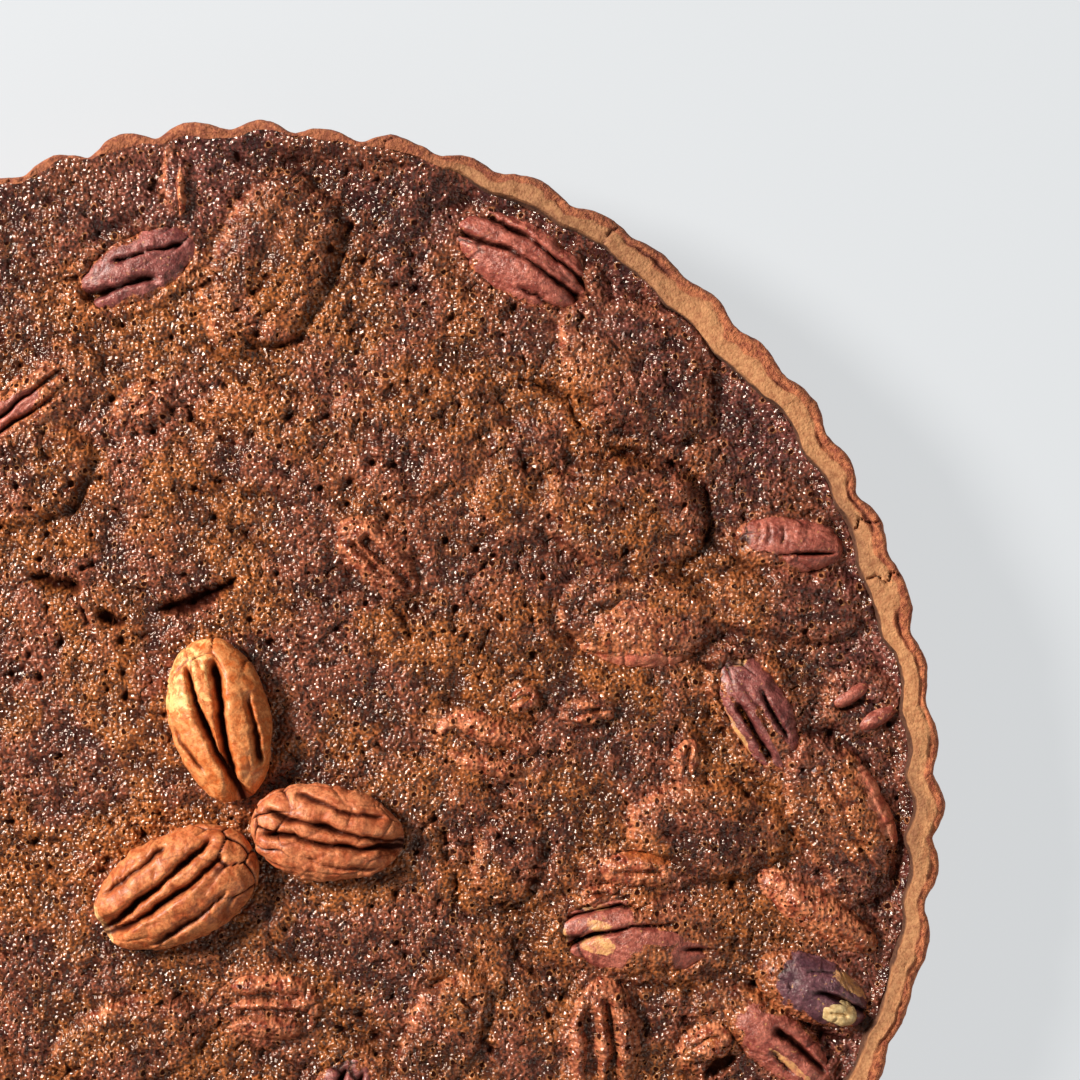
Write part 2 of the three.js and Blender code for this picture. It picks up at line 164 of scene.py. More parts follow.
# Broken bits of pecan: x, y, heading, length, width, how far each stands out of the skin, and the
# number of its tone.
BITS = [
    (-21.7, 73.9, 40, 8, 5.4, 0.9, 2),
    (48.4, 19, 20, 7, 5.2, 0.8, 2),
    (61.1, 16.8, 8, 9.4, 4.6, 0.8, 2),
    (79.6, 7.9, 88, 8.4, 5.4, 0.9, 2),
    (83.4, -44.6, 20, 9.4, 7.2, 0.9, 2),
    (-15.5, 114.8, 92, 13, 3.8, 0.9, 2),
    (109.6, 20, 30, 8.6, 3.2, 1.2, 0),
    (114.8, 15.9, 29, 8.8, 3.5, 1.2, 0),
    (62.5, -17.6, 12, 8.6, 4.4, 1, 2),
    (-58, 20, 70, 8, 5, 0.8, 2),
    (-30, -82, 150, 9, 5, 0.9, 1),
    (20, -98, 30, 8, 4.4, 0.8, 2),
]

BIT_THICKNESS = 4

# Bits slimmer than this are slivers of bare skin.
SLIM_WIDTH = 3.6


def lay_out_spiral():
    taken = SUNK_NUTS + COVERED_NUTS
    for i in range(1, SPIRAL_COUNT):
        radius = SPIRAL_SPACING * math.sqrt(i)
        angle = math.radians(i * SPIRAL_TURN)
        x, y = radius * math.cos(angle), radius * math.sin(angle)
        clear = all(math.hypot(nut["x"] - x, nut["y"] - y) > SPIRAL_CLEARANCE for nut in taken)
        if not (x < FREE_LEFT or y < FREE_FRONT) or not clear or radius > SPIRAL_REACH:
            continue
        nut = dict(x=x, y=y, heading=(i * 97) % 360)
        nut.update(length=24.5 + (i % 4) * 1.8, width=13.6 + (i % 3) * 1.4)
        taken.append(nut)
        if i % 5 < 3:
            COVERED_NUTS.append(dict(nut, rise=1.5 + (i % 4) * 0.4))
        else:
            SUNK_NUTS.append(dict(nut, rise=2.4 + (i % 3) * 0.4, shown=1.1 + (i % 4) * 0.4))


lay_out_spiral()

# ---------------------------------------------------------------- forms of the case and custard


def clamp01(t):
    return np.clip(t, 0, 1)


def smooth(t):
    t = clamp01(t)
    return t * t * (3 - 2 * t)


def bell(t):
    """1 at 0, falling smoothly away on both sides."""
    return np.exp(-t * t)


def degrees_of(angle):
    return np.degrees(angle) % 360


def overrun(angle):
    """Share of the custard's overrun at an angle of the rim."""
    at = degrees_of(angle)
    shares = [smooth((at - a) / OVERRUN_BLEND) * smooth((b - at) / OVERRUN_BLEND) for a, b in OVERRUNS]
    return np.max(shares, axis=0)


def scallop(angle):
    """About 1 at the crown of a flute and 0 in the notch beside it."""
    uneven = 0.16 * np.sin(angle * 7 + 1) + 0.12 * np.sin(angle * 13)
    crown = np.sqrt(np.cos(FLUTES * angle / 2 + uneven) ** 2 + 0.05) - 0.02
    return crown * (1 + 0.22 * np.sin(angle * 11 + 2))


def rim_lift(angle):
    return 0.5 * np.sin(angle * 5 + 0.7) + 0.35 * np.sin(angle * 17 + 2)


def extra_dough(angle):
    at = degrees_of(angle)
    presses = [depth * smooth(1 - np.abs(at - place) / reach) for place, reach, depth in THICK_DOUGH]
    return np.max(presses, axis=0) + 0.3 * np.sin(angle * 9 + 0.4) + 0.25 * np.sin(angle * 23 + 1)


def inner_radius(z, angle):
    """Inner radius of the case's wall, which leans out from the floor to the rim."""
    up = clamp01((z - FLOOR_THICKNESS) / (RIM_HEIGHT - FLOOR_THICKNESS))
    at_rim = RIM_RADIUS - RIM_THICKNESS + RIM_THINNING * overrun(angle) - extra_dough(angle)
    return FLOOR_RADIUS + (at_rim - FLOOR_RADIUS) * up


def points_at(x, y=0.0, z=0.0):
    """An array of points from their coordinates."""
    return np.stack(np.broadcast_arrays(x, y, z), axis=1)


def round_at(radius, angle):
    """Points in plan at a radius and an angle."""
    return np.stack([radius * np.cos(angle), radius * np.sin(angle)], axis=1)


def custard_level(x, y):
    """The custard's level before the nuts lift it."""
    radius = np.hypot(x, y)
    swell = 0.35 * np.sin(x / 17 + 1.3) * np.cos(y / 21 - 0.4) + 0.3 * np.sin((x + y) / 13 + 2)
    dome = CUSTARD_DOME * np.cos(radius / RIM_RADIUS * math.pi / 2)
    edge = smooth((radius - 98) / 22) * (OVERRUN_RISE * overrun(np.arctan2(y, x)) - EDGE_DROP)
    return CUSTARD_LEVEL + dome + swell + edge


def on_nut(nut, x, y, cover=0.0):
    """Places along and across a nut, as shares of its half length and half width."""
    turn = math.radians(nut["heading"])
    dx, dy = x - nut["x"], y - nut["y"]
    u = dx * math.cos(turn) + dy * math.sin(turn)
    v = dy * math.cos(turn) - dx * math.sin(turn) - cover
    return 2 * u / nut["length"], 2 * v / nut["width"]


def seat_level(nut):
    return float(custard_level(nut["x"], nut["y"])) - 0.2


def nut_top(nut):
    """Height of a sunk nut's crown."""
    return float(custard_level(nut["x"], nut["y"])) + nut["rise"]


def mounds(x, y):
    """How far the nuts lift the skin, and how near each point is to the foot of a mound."""
    total = np.zeros_like(x)
    foot = np.zeros_like(x)
    wave = 0.13 * rough(points_at(x, y), 6, 3, 51)
    for nut in COVERED_NUTS + SUNK_NUTS:
        u, v = on_nut(nut, x, y, nut.get("cover", 0))
        out = np.hypot(u, v) / 1.18 + wave
        height = nut["rise"] - nut.get("shown", 0)
        shape = clamp01(1 - np.abs(out) ** 3.4) ** 0.5
        if "shown" not in nut and nut["width"] > 11:
            # The grooves of a large covered half still show.
            grooves = bell((v - 0.12) / 0.13) + 0.7 * bell((v + 0.42) / 0.12)
            shape = shape * (1 - 0.3 * grooves * smooth((0.85 - np.abs(u)) / 0.3))
        total += (height * shape) ** 4
        reach = 1.3 / (nut["width"] / 2)
        strength = min(1, nut["rise"] / 2.8 if "shown" in nut else height / 1.6)
        foot = np.maximum(foot, bell((out - 1.03) / reach * 2) * strength)
    return total ** 0.25, foot


def custard_top(x, y):
    """Height of the skin, raised over every nut under it and level under the loose ones, and the feet
    of its mounds."""
    lift, foot = mounds(x, y)
    z = custard_level(x, y) + lift
    for nut in LOOSE_NUTS:
        u, v = on_nut(nut, x, y)
        z += (seat_level(nut) - z) * smooth((1.6 - np.hypot(u, v)) / 0.35)
    return z, foot


def skin_radius(angle):
    """Radius of the skin's edge at an angle of the rim."""
    level = custard_level(FLOOR_RADIUS * np.cos(angle), FLOOR_RADIUS * np.sin(angle))
    return inner_radius(level, angle) - CRUST_GAP


# ---------------------------------------------------------------- repeatable roughness


def scattered(ix, iy, iz, seed):
    """A repeatable number from 0 to 1 for every whole point of a lattice."""
    mixed = (ix * 374761393 + iy * 668265263 + iz * 1274126177 + seed * 362437) & 0xFFFFFFFF
    mixed = ((mixed ^ (mixed >> 13)) * 1274126177) & 0xFFFFFFFF
    return ((mixed ^ (mixed >> 16)) & 0xFFFFFF) / 0xFFFFFF


def noise(points, size, seed=0):
    """Smooth noise from -1 to 1 at an array of points, with features of about a size."""
    scaled = points / size + 500
    cell = np.floor(scaled).astype(np.int64)
    part = scaled - cell
    part = part * part * (3 - 2 * part)
    total = np.zeros(len(points))
    for corner in itertools.product((0, 1), repeat=3):
        weight = np.prod(np.where(corner, part, 1 - part), axis=1)
        total += weight * scattered(*(cell + corner).T, seed)
    return 2 * total - 1


def rough(points, size, octaves, seed=0):
    """Noise with finer and weaker noise on it."""
    layers = [noise(points, size / 2**i, seed + i) / 2**i for i in range(octaves)]
    return sum(layers) / sum(1 / 2**i for i in range(octaves))


def cell_walls(points, size, seed=0):
    """Distance to the wall between the two nearest of some scattered points, as a share of size."""
    scaled = points / size + 500
    cell = np.floor(scaled).astype(np.int64)
    near = np.full(len(points), 9.0)
    second = near.copy()
    for corner in itertools.product((-1, 0, 1), repeat=3):
        at = (cell + corner).T
        spot = np.stack([scattered(*at, seed + k) for k in range(3)], axis=1) + at.T
        away = np.linalg.norm(spot - scaled, axis=1)
        second = np.minimum(second, np.maximum(near, away))
        near = np.minimum(near, away)
    return second - near


# ---------------------------------------------------------------- meshes


def give(mesh, name, values):
    """Stores one number a vertex, which materials read by name."""
    layer = mesh.attributes.new(name, "FLOAT", "POINT")
    layer.data.foreach_set("value", np.ascontiguousarray(values, dtype=np.float32))


def finish_piece(name, bm, points, material, nodes, sharpest, marks):
    """Makes an object of a bmesh at new points in millimetres, hangs it on the root and hides the parts it
    stands for. Edges that turn more than the sharpest angle in degrees aren't smoothed."""
    mesh = bpy.data.meshes.new(name)
    bm.to_mesh(mesh)
    bm.free()
    mesh.vertices.foreach_set("co", (np.asarray(points) * MM).ravel())
    mesh.update()
    for key, values in marks.items():
        give(mesh, key, values)
    mesh.polygons.foreach_set("use_smooth", np.ones(len(mesh.polygons), dtype=bool))
    mesh.set_sharp_from_angle(angle=math.radians(sharpest))
    mesh.materials.append(material)
    made = bpy.data.objects.new(name, mesh)
    bpy.context.scene.collection.objects.link(made)
    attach(made, "root")
    if nodes:
        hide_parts(*nodes)
    return made


def bm_points(bm):
    bm.verts.index_update()
    return np.array([v.co[:] for v in bm.verts])


# ---------------------------------------------------------------- shader nodes


class Socket:
    """An output of a node tree. Arithmetic on it adds Math nodes."""

    def __init__(self, finish, output):
        self.finish = finish
        self.output = output

    def maths(self, operation, first, second):
        return self.finish.node("ShaderNodeMath", {"operation": operation}, {0: first, 1: second})

    def __add__(self, other):
        return self.maths("ADD", self, other)

    __radd__ = __add__

    def __mul__(self, other):
        return self.maths("MULTIPLY", self, other)

    __rmul__ = __mul__

    def __sub__(self, other):
        return self.maths("SUBTRACT", self, other)

    def __rsub__(self, other):
        return self.maths("SUBTRACT", other, self)

    def most(self, other):
        return self.maths("MAXIMUM", self, other)

    def least(self, other):
        return self.maths("MINIMUM", self, other)

    def also(self, out):
        """Another output of the same node."""
        return Socket(self.finish, self.output.node.outputs[out])

    def step(self, low, high):
        """0 at low and 1 at high, with a smooth rise between them; low may be above high."""
        ends = {"Value": self, "From Min": low, "From Max": high, "To Min": 0.0, "To Max": 1.0}
        return self.finish.node("ShaderNodeMapRange", {"interpolation_type": "SMOOTHSTEP"}, ends)


class Finish:
    """A procedural material."""

    def __init__(self, name, roughness=0.5, **constants):
        self.material = bpy.data.materials.new(name)
        self.material.use_nodes = True
        self.tree = self.material.node_tree
        self.shader = self.tree.nodes["Principled BSDF"]
        self.place = self.node("ShaderNodeTexCoord", out="Object")
        self.set("Roughness", roughness)
        for key, value in constants.items():
            self.set(key.replace("_", " "), value)

    def set(self, socket, value):
        """Sets one of the shader's own sockets, to a number, a colour or another socket."""
        if isinstance(value, Socket):
            self.tree.links.new(value.output, self.shader.inputs[socket])
        else:
            self.shader.inputs[socket].default_value = value

    def node(self, kind, settings=None, inputs=None, out=0):
        """Adds a node with its settings and the values or links of its sockets."""
        made = self.tree.nodes.new(kind)
        for key, value in (settings or {}).items():
            setattr(made, key, value)
        for key, value in (inputs or {}).items():
            if isinstance(value, Socket):
                self.tree.links.new(value.output, made.inputs[key])
            else:
                made.inputs[key].default_value = value
        return Socket(self, made.outputs[out])

    def mark(self, name):
        """A number that the mesh carries."""
        return self.node("ShaderNodeAttribute", {"attribute_name": name}, out="Fac")

    def shifted(self, seed):
        """The place on the piece, moved so that each seed gives another pattern."""
        if not seed:
            return self.place
        values = {0: self.place, 1: (seed * 0.37, seed * 0.53, seed * 0.71)}
        return self.node("ShaderNodeVectorMath", {"operation": "ADD"}, values)

    def noise(self, size, detail=3.0, roughness=0.55, distortion=0.0, seed=0, flat=False):
        """Noise from 0 to 1 with features of about a size in millimetres, or in plan only."""
        settings = {"noise_dimensions": "2D" if flat else "3D"}
        values = {"Vector": self.shifted(seed), "Scale": 1 / (size * MM), "Detail": detail}
        values.update({"Roughness": roughness, "Distortion": distortion})
        return self.node("ShaderNodeTexNoise", settings, values)

    def stirred(self, size, reach):
        """The place on the piece, moved about by noise."""
        values = {0: self.noise(size, 0, flat=True).also("Color"), 1: (reach * MM,) * 3, 2: self.place}
        return self.node("ShaderNodeVectorMath", {"operation": "MULTIPLY_ADD"}, values)

    def pores(self, place, size, share, most):
        """Pores in a share of the cells of a size, up to so wide, and the rims round them."""
        values = {"Vector": place, "Scale": 1 / (size * MM)}
        gap = self.node("ShaderNodeTexVoronoi", {"voronoi_dimensions": "2D"}, values, "Distance")
        draw = self.node("ShaderNodeSeparateColor", None, {0: gap.also("Color")})
        reach = ((draw - (1 - share)) * (most / share)).most(0.02)
        inside = gap.step(reach, reach * 0.6)
        return inside, gap.step(reach * 1.9, reach * 1.15) - inside

    def blend(self, share, first, second):
        """The first colour where the share is 0 and the second where it is 1."""
        settings = {"data_type": "RGBA", "clamp_factor": True}
        return self.node("ShaderNodeMix", settings, {0: share, 6: first, 7: second}, out=2)

    def bump(self, height, distance, strength=1.0):
        """Relief of a height in millimetres for a value of 1."""
        values = {"Height": height, "Distance": distance * MM, "Strength": strength}
        return self.node("ShaderNodeBump", None, values, out="Normal")

    def paint_hole_shade(self, share):
        """Puts a matt dark brown, painted shade of a deep hole, in place of the shader by a share."""
        deep = self.node("ShaderNodeBsdfDiffuse", None, {"Color": colour(40, 13, 8)})
        shader = Socket(self, self.shader.outputs[0])
        mixed = self.node("ShaderNodeMixShader", None, {0: share, 1: shader, 2: deep})
        self.tree.links.new(mixed.output, self.tree.nodes["Material Output"].inputs["Surface"])


def colour(*screen):
    """A colour of the screen, with each part from 0 to 255, as light."""
    light = [((c / 255 + 0.055) / 1.055) ** 2.4 if c > 10 else c / 255 / 12.92 for c in screen]
    return (*light, 1.0)


# ---------------------------------------------------------------- finishes

# The tint of the syrup's highlights, and how high its foam stands in millimetres.
SYRUP_GLOSS = colour(255, 240, 222)
FOAM_RELIEF = 0.36

# Dark syrup and painted shade in the hollows between the foam's bubbles.
SYRUP_AND_HOLLOW_SHADE = colour(50, 20, 12)


def foam(f, ridge, rim, thin_skin_and_lit_side):
    """The custard's skin: its colour, roughness and relief, and how black its pores are with painted shade.
    """
    patches = f.noise(17, 2, 0.55, 0.5, flat=True)
    flecks = f.noise(1.8, 3, 0.62, 0.25, seed=3, flat=True)
    froth = f.noise(0.55, 1, 0.6, seed=11, flat=True)
    bubbles = f.noise(0.7, 0, 0.5, seed=13, flat=True)
    tone = (ridge * 0.9 + flecks * 1.5 - 0.7).step(0.15, 0.85)
    dark = f.blend(tone, colour(64, 28, 21), colour(158, 85, 59))
    golden = f.blend(tone, colour(80, 37, 17), colour(180, 101, 49))
    base = f.blend(patches.step(0.38, 0.58), dark, golden)
    burnt = f.blend(tone, colour(52, 25, 29), colour(130, 71, 64))
    base = f.blend(rim, base, burnt)
    # Thin skin over a nut, and painted light on a mound's side towards the window, are a lighter orange.
    thin = f.blend(flecks.step(0.3, 0.7), colour(150, 64, 42), colour(238, 146, 100))
    base = f.blend(thin_skin_and_lit_side, base, thin)
    place = f.stirred(1.1, 0.5)
    wide, wide_rim = f.pores(place, 1.8, 0.36, 0.3)
    fine, fine_rim = f.pores(place, 0.85, 0.5, 0.3)
    pores = wide.most(fine * 0.9)
    rims = wide_rim.most(fine_rim * 0.6).most(0.0) * (1.0 - pores) * flecks.step(0.32, 0.55)
    # Where the skin is thin over a nut, and where painted light falls on a mound's side towards the window,
    # less dark syrup and painted shade fill the hollows between its bubbles.
    thick = 1.0 - 0.75 * thin_skin_and_lit_side
    base = f.blend(bubbles.step(0.52, 0.32) * (0.65 * thick), base, SYRUP_AND_HOLLOW_SHADE)
    base = f.blend(froth.step(0.5, 0.36) * (0.45 * thick), base, SYRUP_AND_HOLLOW_SHADE)
    base = f.blend(rims * 0.4, base, colour(214, 140, 80))
    relief = bubbles * 1.3 + rims * 0.3 - pores * 1.2 + flecks * 0.7
    return base, 0.1 + 0.2 * flecks, relief, pores


def custard_finish():
    """Syrupy baked custard: golden to dark brown foam, full of small pores painted black as shade, with
    lighter rims.
    """
    f = Finish("baked_custard", roughness=0.3, IOR=1.6, Specular_Tint=SYRUP_GLOSS)
    base, roughness, relief, pores = foam(f, f.mark("ridge"), f.mark("rim") * 0.85, f.mark("thin_skin_and_lit_side"))
    f.set("Base Color", base)
    f.set("Roughness", roughness)
    f.set("Normal", f.bump(relief, FOAM_RELIEF))
    # Painted shade: the pores, pits, cracks and moats go a matt dark brown.
    f.paint_hole_shade(pores.most(f.mark("hollow_shade").step(0.1, 0.95)) * 0.94)
    return f.material


def crust_finish():
    """Shortcrust: sandy tan dough, browned redder along the outer half of its rim."""
    f = Finish("baked_shortcrust", roughness=0.78, IOR=1.45)
    grain = f.noise(1.0, 3, 0.65)
    patches = f.noise(7, 3, 0.6, 0.4, seed=2)
    pale = f.blend(grain.step(0.3, 0.7), colour(178, 112, 68), colour(212, 150, 98))
    toasted = f.blend(grain.step(0.3, 0.68), colour(146, 66, 38), colour(214, 128, 80))
    brown = (f.mark("brown") + (patches - 0.5) * 1.1 + (grain - 0.5) * 0.8).step(0.25, 0.75)
    base = f.blend(brown, pale, toasted)
    spots = f.noise(0.9, 2, 0.6, seed=8).step(0.66, 0.76) * (0.35 + f.mark("brown").least(1.0) * 0.5)
    base = f.blend(spots, base, colour(112, 52, 30))
    # Painted shade in the rim's cracks and tears.
    base = f.blend(f.mark("fissure").step(0.15, 0.9) * 0.8, base, colour(104, 44, 24))
    # Stains of burnt syrup and soot, with painted shade on the inner wall above the custard.
    burnt = f.blend(grain.step(0.3, 0.7), colour(34, 15, 10), colour(78, 39, 27))
    base = f.blend(f.mark("stain_and_shade"), base, burnt)
    f.set("Base Color", base)
    f.set("Roughness", 0.62 + 0.3 * grain)
    coarse = f.noise(0.7, 3, 0.72, seed=4) * (0.6 + f.mark("brown") * 2.0)
    crumbs = f.noise(0.45, 1, 0.5, seed=6)
    f.set("Normal", f.bump(coarse + crumbs * 0.8 + patches * 1.2, 0.24, 1.0))
    return f.material


def pecan_finish(name, dark, mid, light, pale, gloss, roughness, film=False):
    """Pecan skin: wrinkled, with painted shade in its creases, and where there is a film, foam over it."""
    f = Finish(name, roughness=roughness, IOR=1.58 if film else 1.45, Coat_Roughness=0.22)
    f.set("Specular Tint", SYRUP_GLOSS)
    crease = f.mark("crease")
    streaks = f.noise(2.2, 4, 0.65, 0.6, seed=1)
    fine = f.noise(0.6, 3, 0.6, seed=2)
    base = f.blend(streaks.step(0.34, 0.68), mid, light)
    base = f.blend(fine.step(0.56, 0.36) * 0.4, base, dark)
    cream = f.mark("cream") + (f.noise(1.3, 3, 0.65, 0.3, seed=5) - 0.5) * 1.9
    base = f.blend(cream.step(0.42, 0.58) * 0.9, base, f.blend(streaks.step(0.3, 0.6), light, pale))
    # Painted shade in the creases, going to a matt dark brown in the deepest.
    base = f.blend(crease.step(0.12, 0.7) * 0.85, base, dark)
    relief = f.noise(0.6, 3, 0.62, 0.3, seed=3) + streaks * 1.5
    deep_crease_shade = crease.step(0.55, 0.95) * 0.9
    if film:
        skin = (f.mark("film") + (f.noise(1.1, 3, 0.65, seed=6) - 0.5) * 1.2).step(0.36, 0.6)
        foam_base, foam_roughness, foam_relief, pores = foam(f, 0.55, 0.0, f.mark("thin_skin_and_lit_side"))
        # Sugar specks and painted glints on the skin under the film.
        sugar_specks_and_glints = f.noise(0.7, 2, 0.5, seed=8).step(0.66, 0.74)
        base = f.blend(sugar_specks_and_glints * 0.6, base, pale)
        base = f.blend(skin, base, foam_base)
        f.set("Roughness", roughness + (foam_roughness - roughness) * skin)
        f.set("Normal", f.bump(relief * 0.75 * (1.0 - skin) + foam_relief * skin, FOAM_RELIEF))
        f.paint_hole_shade((deep_crease_shade * (1.0 - skin * 0.4)).most(pores * skin * 0.97))
    else:
        f.set("Roughness", roughness - 0.12 + 0.24 * fine)
        f.set("Normal", f.bump(relief, 0.16, 0.9))
        f.paint_hole_shade(deep_crease_shade)
    f.set("Base Color", base)
    f.set("Coat Weight", gloss)
    return f.material


def flesh_finish():
    """The cream inside of a broken pecan."""
    f = Finish("pecan_flesh", roughness=0.6, IOR=1.45)
    grain = f.noise(1.2, 4, 0.65)
    base = f.blend(grain.step(0.3, 0.7), colour(184, 142, 88), colour(226, 196, 138))
    # Painted shade in the creases.
    f.set("Base Color", f.blend(f.mark("crease").step(0.2, 0.9), base, colour(92, 54, 30)))
    f.set("Normal", f.bump(grain + f.noise(0.5, 2, 0.6), 0.15, 0.8))
    return f.material


# ---------------------------------------------------------------- the case

STEPS_PER_FLUTE = 24

# Cracks across the rim: place in degrees, half width and depth.
RIM_CRACKS = [
    (24.8, 0.3, 1.2), (19.8, 0.26, 1.2), (58.5, 0.3, 0.7), (79, 0.25, 0.6), (112, 0.3, 0.7),
    (163, 0.3, 1.1), (205, 0.25, 0.7), (240, 0.3, 1.1), (288, 0.25, 0.8), (334, 0.25, 1),
]


def rim_wave(angle):
    """1 at a flute's crown and less beside it, and how far the inner edge follows it outwards."""
    ring = points_at(np.cos(angle), np.sin(angle)) * 60
    away = np.abs((degrees_of(angle) + 180) % 360 - 180)
    strength = (0.75 + 0.25 * smooth((away - 50) / 14)) * np.clip(0.72 + 0.7 * noise(ring, 4.6, 61), 0.25, 1)
    crown = 1 - strength * (1 - scallop(angle)) - 0.16 * (1 + noise(ring, 6, 30))
    return crown, 1.9 * (crown - 0.72) + 0.6 * noise(ring, 3.4, 29)


def dough_push(points):
    """How far the dough's own unevenness moves its wall outwards."""
    return 0.5 * rough(points + 50, 6, 4, 47) + 0.16 * rough(points, 1.2, 2, 48)


def case_profile():
    """Points of the case's section as radius, height, flute share, lift share and inside or not."""
    rows = [(0, 0, 0, 0, 0), (60, 0, 0, 0, 0), (117, 0, 0.2, 0, 0), (119.4, 0.25, 0.3, 0, 0)]
    rows += [(BASE_RADIUS, 0.9, 0.35, 0, 0)]
    for z in np.linspace(2.2, 21.6, 15):
        up = z / ROUNDING_LEVEL
        radius = BASE_RADIUS + (RIM_RADIUS - BASE_RADIUS) * up
        rows.append((radius, z, 0.35 + 0.65 * up, smooth((z - 8) / 14), 0))
    for turn in np.linspace(0, 90, 8):
        a = math.radians(turn)
        radius = ROUNDING_RADIUS + ROUNDING_WIDTH * math.cos(a)
        rows.append((radius, ROUNDING_LEVEL + ROUNDING_HEIGHT * math.sin(a), 1 - 0.3 * turn / 90, 1, 0))
    for t in np.linspace(0.09, 1, 13):
        flute = 0.7 * (1 - t) ** 1.5
        rows.append((ROUNDING_RADIUS - RIM_TOP_WIDTH * t, RIM_HEIGHT - 0.25 * t * t, flute, 1, 0))
    for z in (24.3, 23.8, 23, 22, 20.8, 19.4, 17.6, 15):
        rows.append((0, z, 0, smooth((z - 12) / 12), 1))
    rows += [(0, 10, 0, 0, 1), (0, FLOOR_THICKNESS, 0, 0, 1), (60, FLOOR_THICKNESS, 0, 0, 0)]
    rows += [(0, FLOOR_THICKNESS, 0, 0, 0)]
    return rows


def case_mesh():
    """The case's section spun round, with the section's own numbers at every vertex."""
    bm = bmesh.new()
    shape = bm.verts.layers.float_vector.new("shape")
    kind = bm.verts.layers.float.new("inside")
    spots = []
    for radius, z, flute, lift, inside in case_profile():
        spot = bm.verts.new((FLOOR_RADIUS if inside else radius, 0, z))
        spot[shape] = (flute, lift, radius)
        spot[kind] = inside
        spots.append(spot)
    lines = [bm.edges.new(pair) for pair in zip(spots, spots[1:])]
    bmesh.ops.spin(bm, geom=spots + lines, cent=(0, 0, 0), axis=(0, 0, 1), angle=TAU,
                   steps=FLUTES, use_merge=True)
    on_axis = [v for v in bm.verts if math.hypot(v.co.x, v.co.y) < 1e-4]
    bmesh.ops.remove_doubles(bm, verts=on_axis, dist=1e-3)
    around = [e for e in bm.edges if abs(e.verts[0][shape].z - e.verts[1][shape].z) < 1e-6
              and abs(e.verts[0].co.z - e.verts[1].co.z) < 1e-6]
    bmesh.ops.subdivide_edges(bm, edges=around, cuts=STEPS_PER_FLUTE - 1, use_grid_fill=True)
    bmesh.ops.recalc_face_normals(bm, faces=bm.faces)
    flute, lift, radius = np.array([v[shape][:] for v in bm.verts]).T
    inside = np.array([v[kind] for v in bm.verts]) > 0.5
    return bm, flute, lift, radius, inside


def rim_cracks(angle, radius, share):
    """How far cracks across the rim lower it, and how torn it is."""
    drop = np.zeros_like(angle)
    torn = np.zeros_like(angle)
    for place, width, depth in RIM_CRACKS:
        bend = 1.1 * noise(points_at(radius), 1.5, int(place)) + (share - 0.5) * 1.4
        off = (angle - math.radians(place) + math.pi) % TAU - math.pi
        crack = bell((off * RIM_RADIUS + bend) / width) * smooth((1.02 - share) / 0.2)
        drop += depth * crack
        torn = np.maximum(torn, crack)
    return drop, torn


def case_darkening_by_nuts(out, share, crumble):
    """How much the case darkens beside the halves that lie against it."""
    darkening = np.zeros_like(share)
    for nut in SUNK_NUTS:
        if math.hypot(nut["x"], nut["y"]) > 104:
            near = bell(np.hypot(out[:, 0] - nut["x"], out[:, 1] - nut["y"]) / 14)
            darkening = np.maximum(darkening, near * smooth((0.6 - share + 0.5 * crumble) / 0.5))
    return darkening


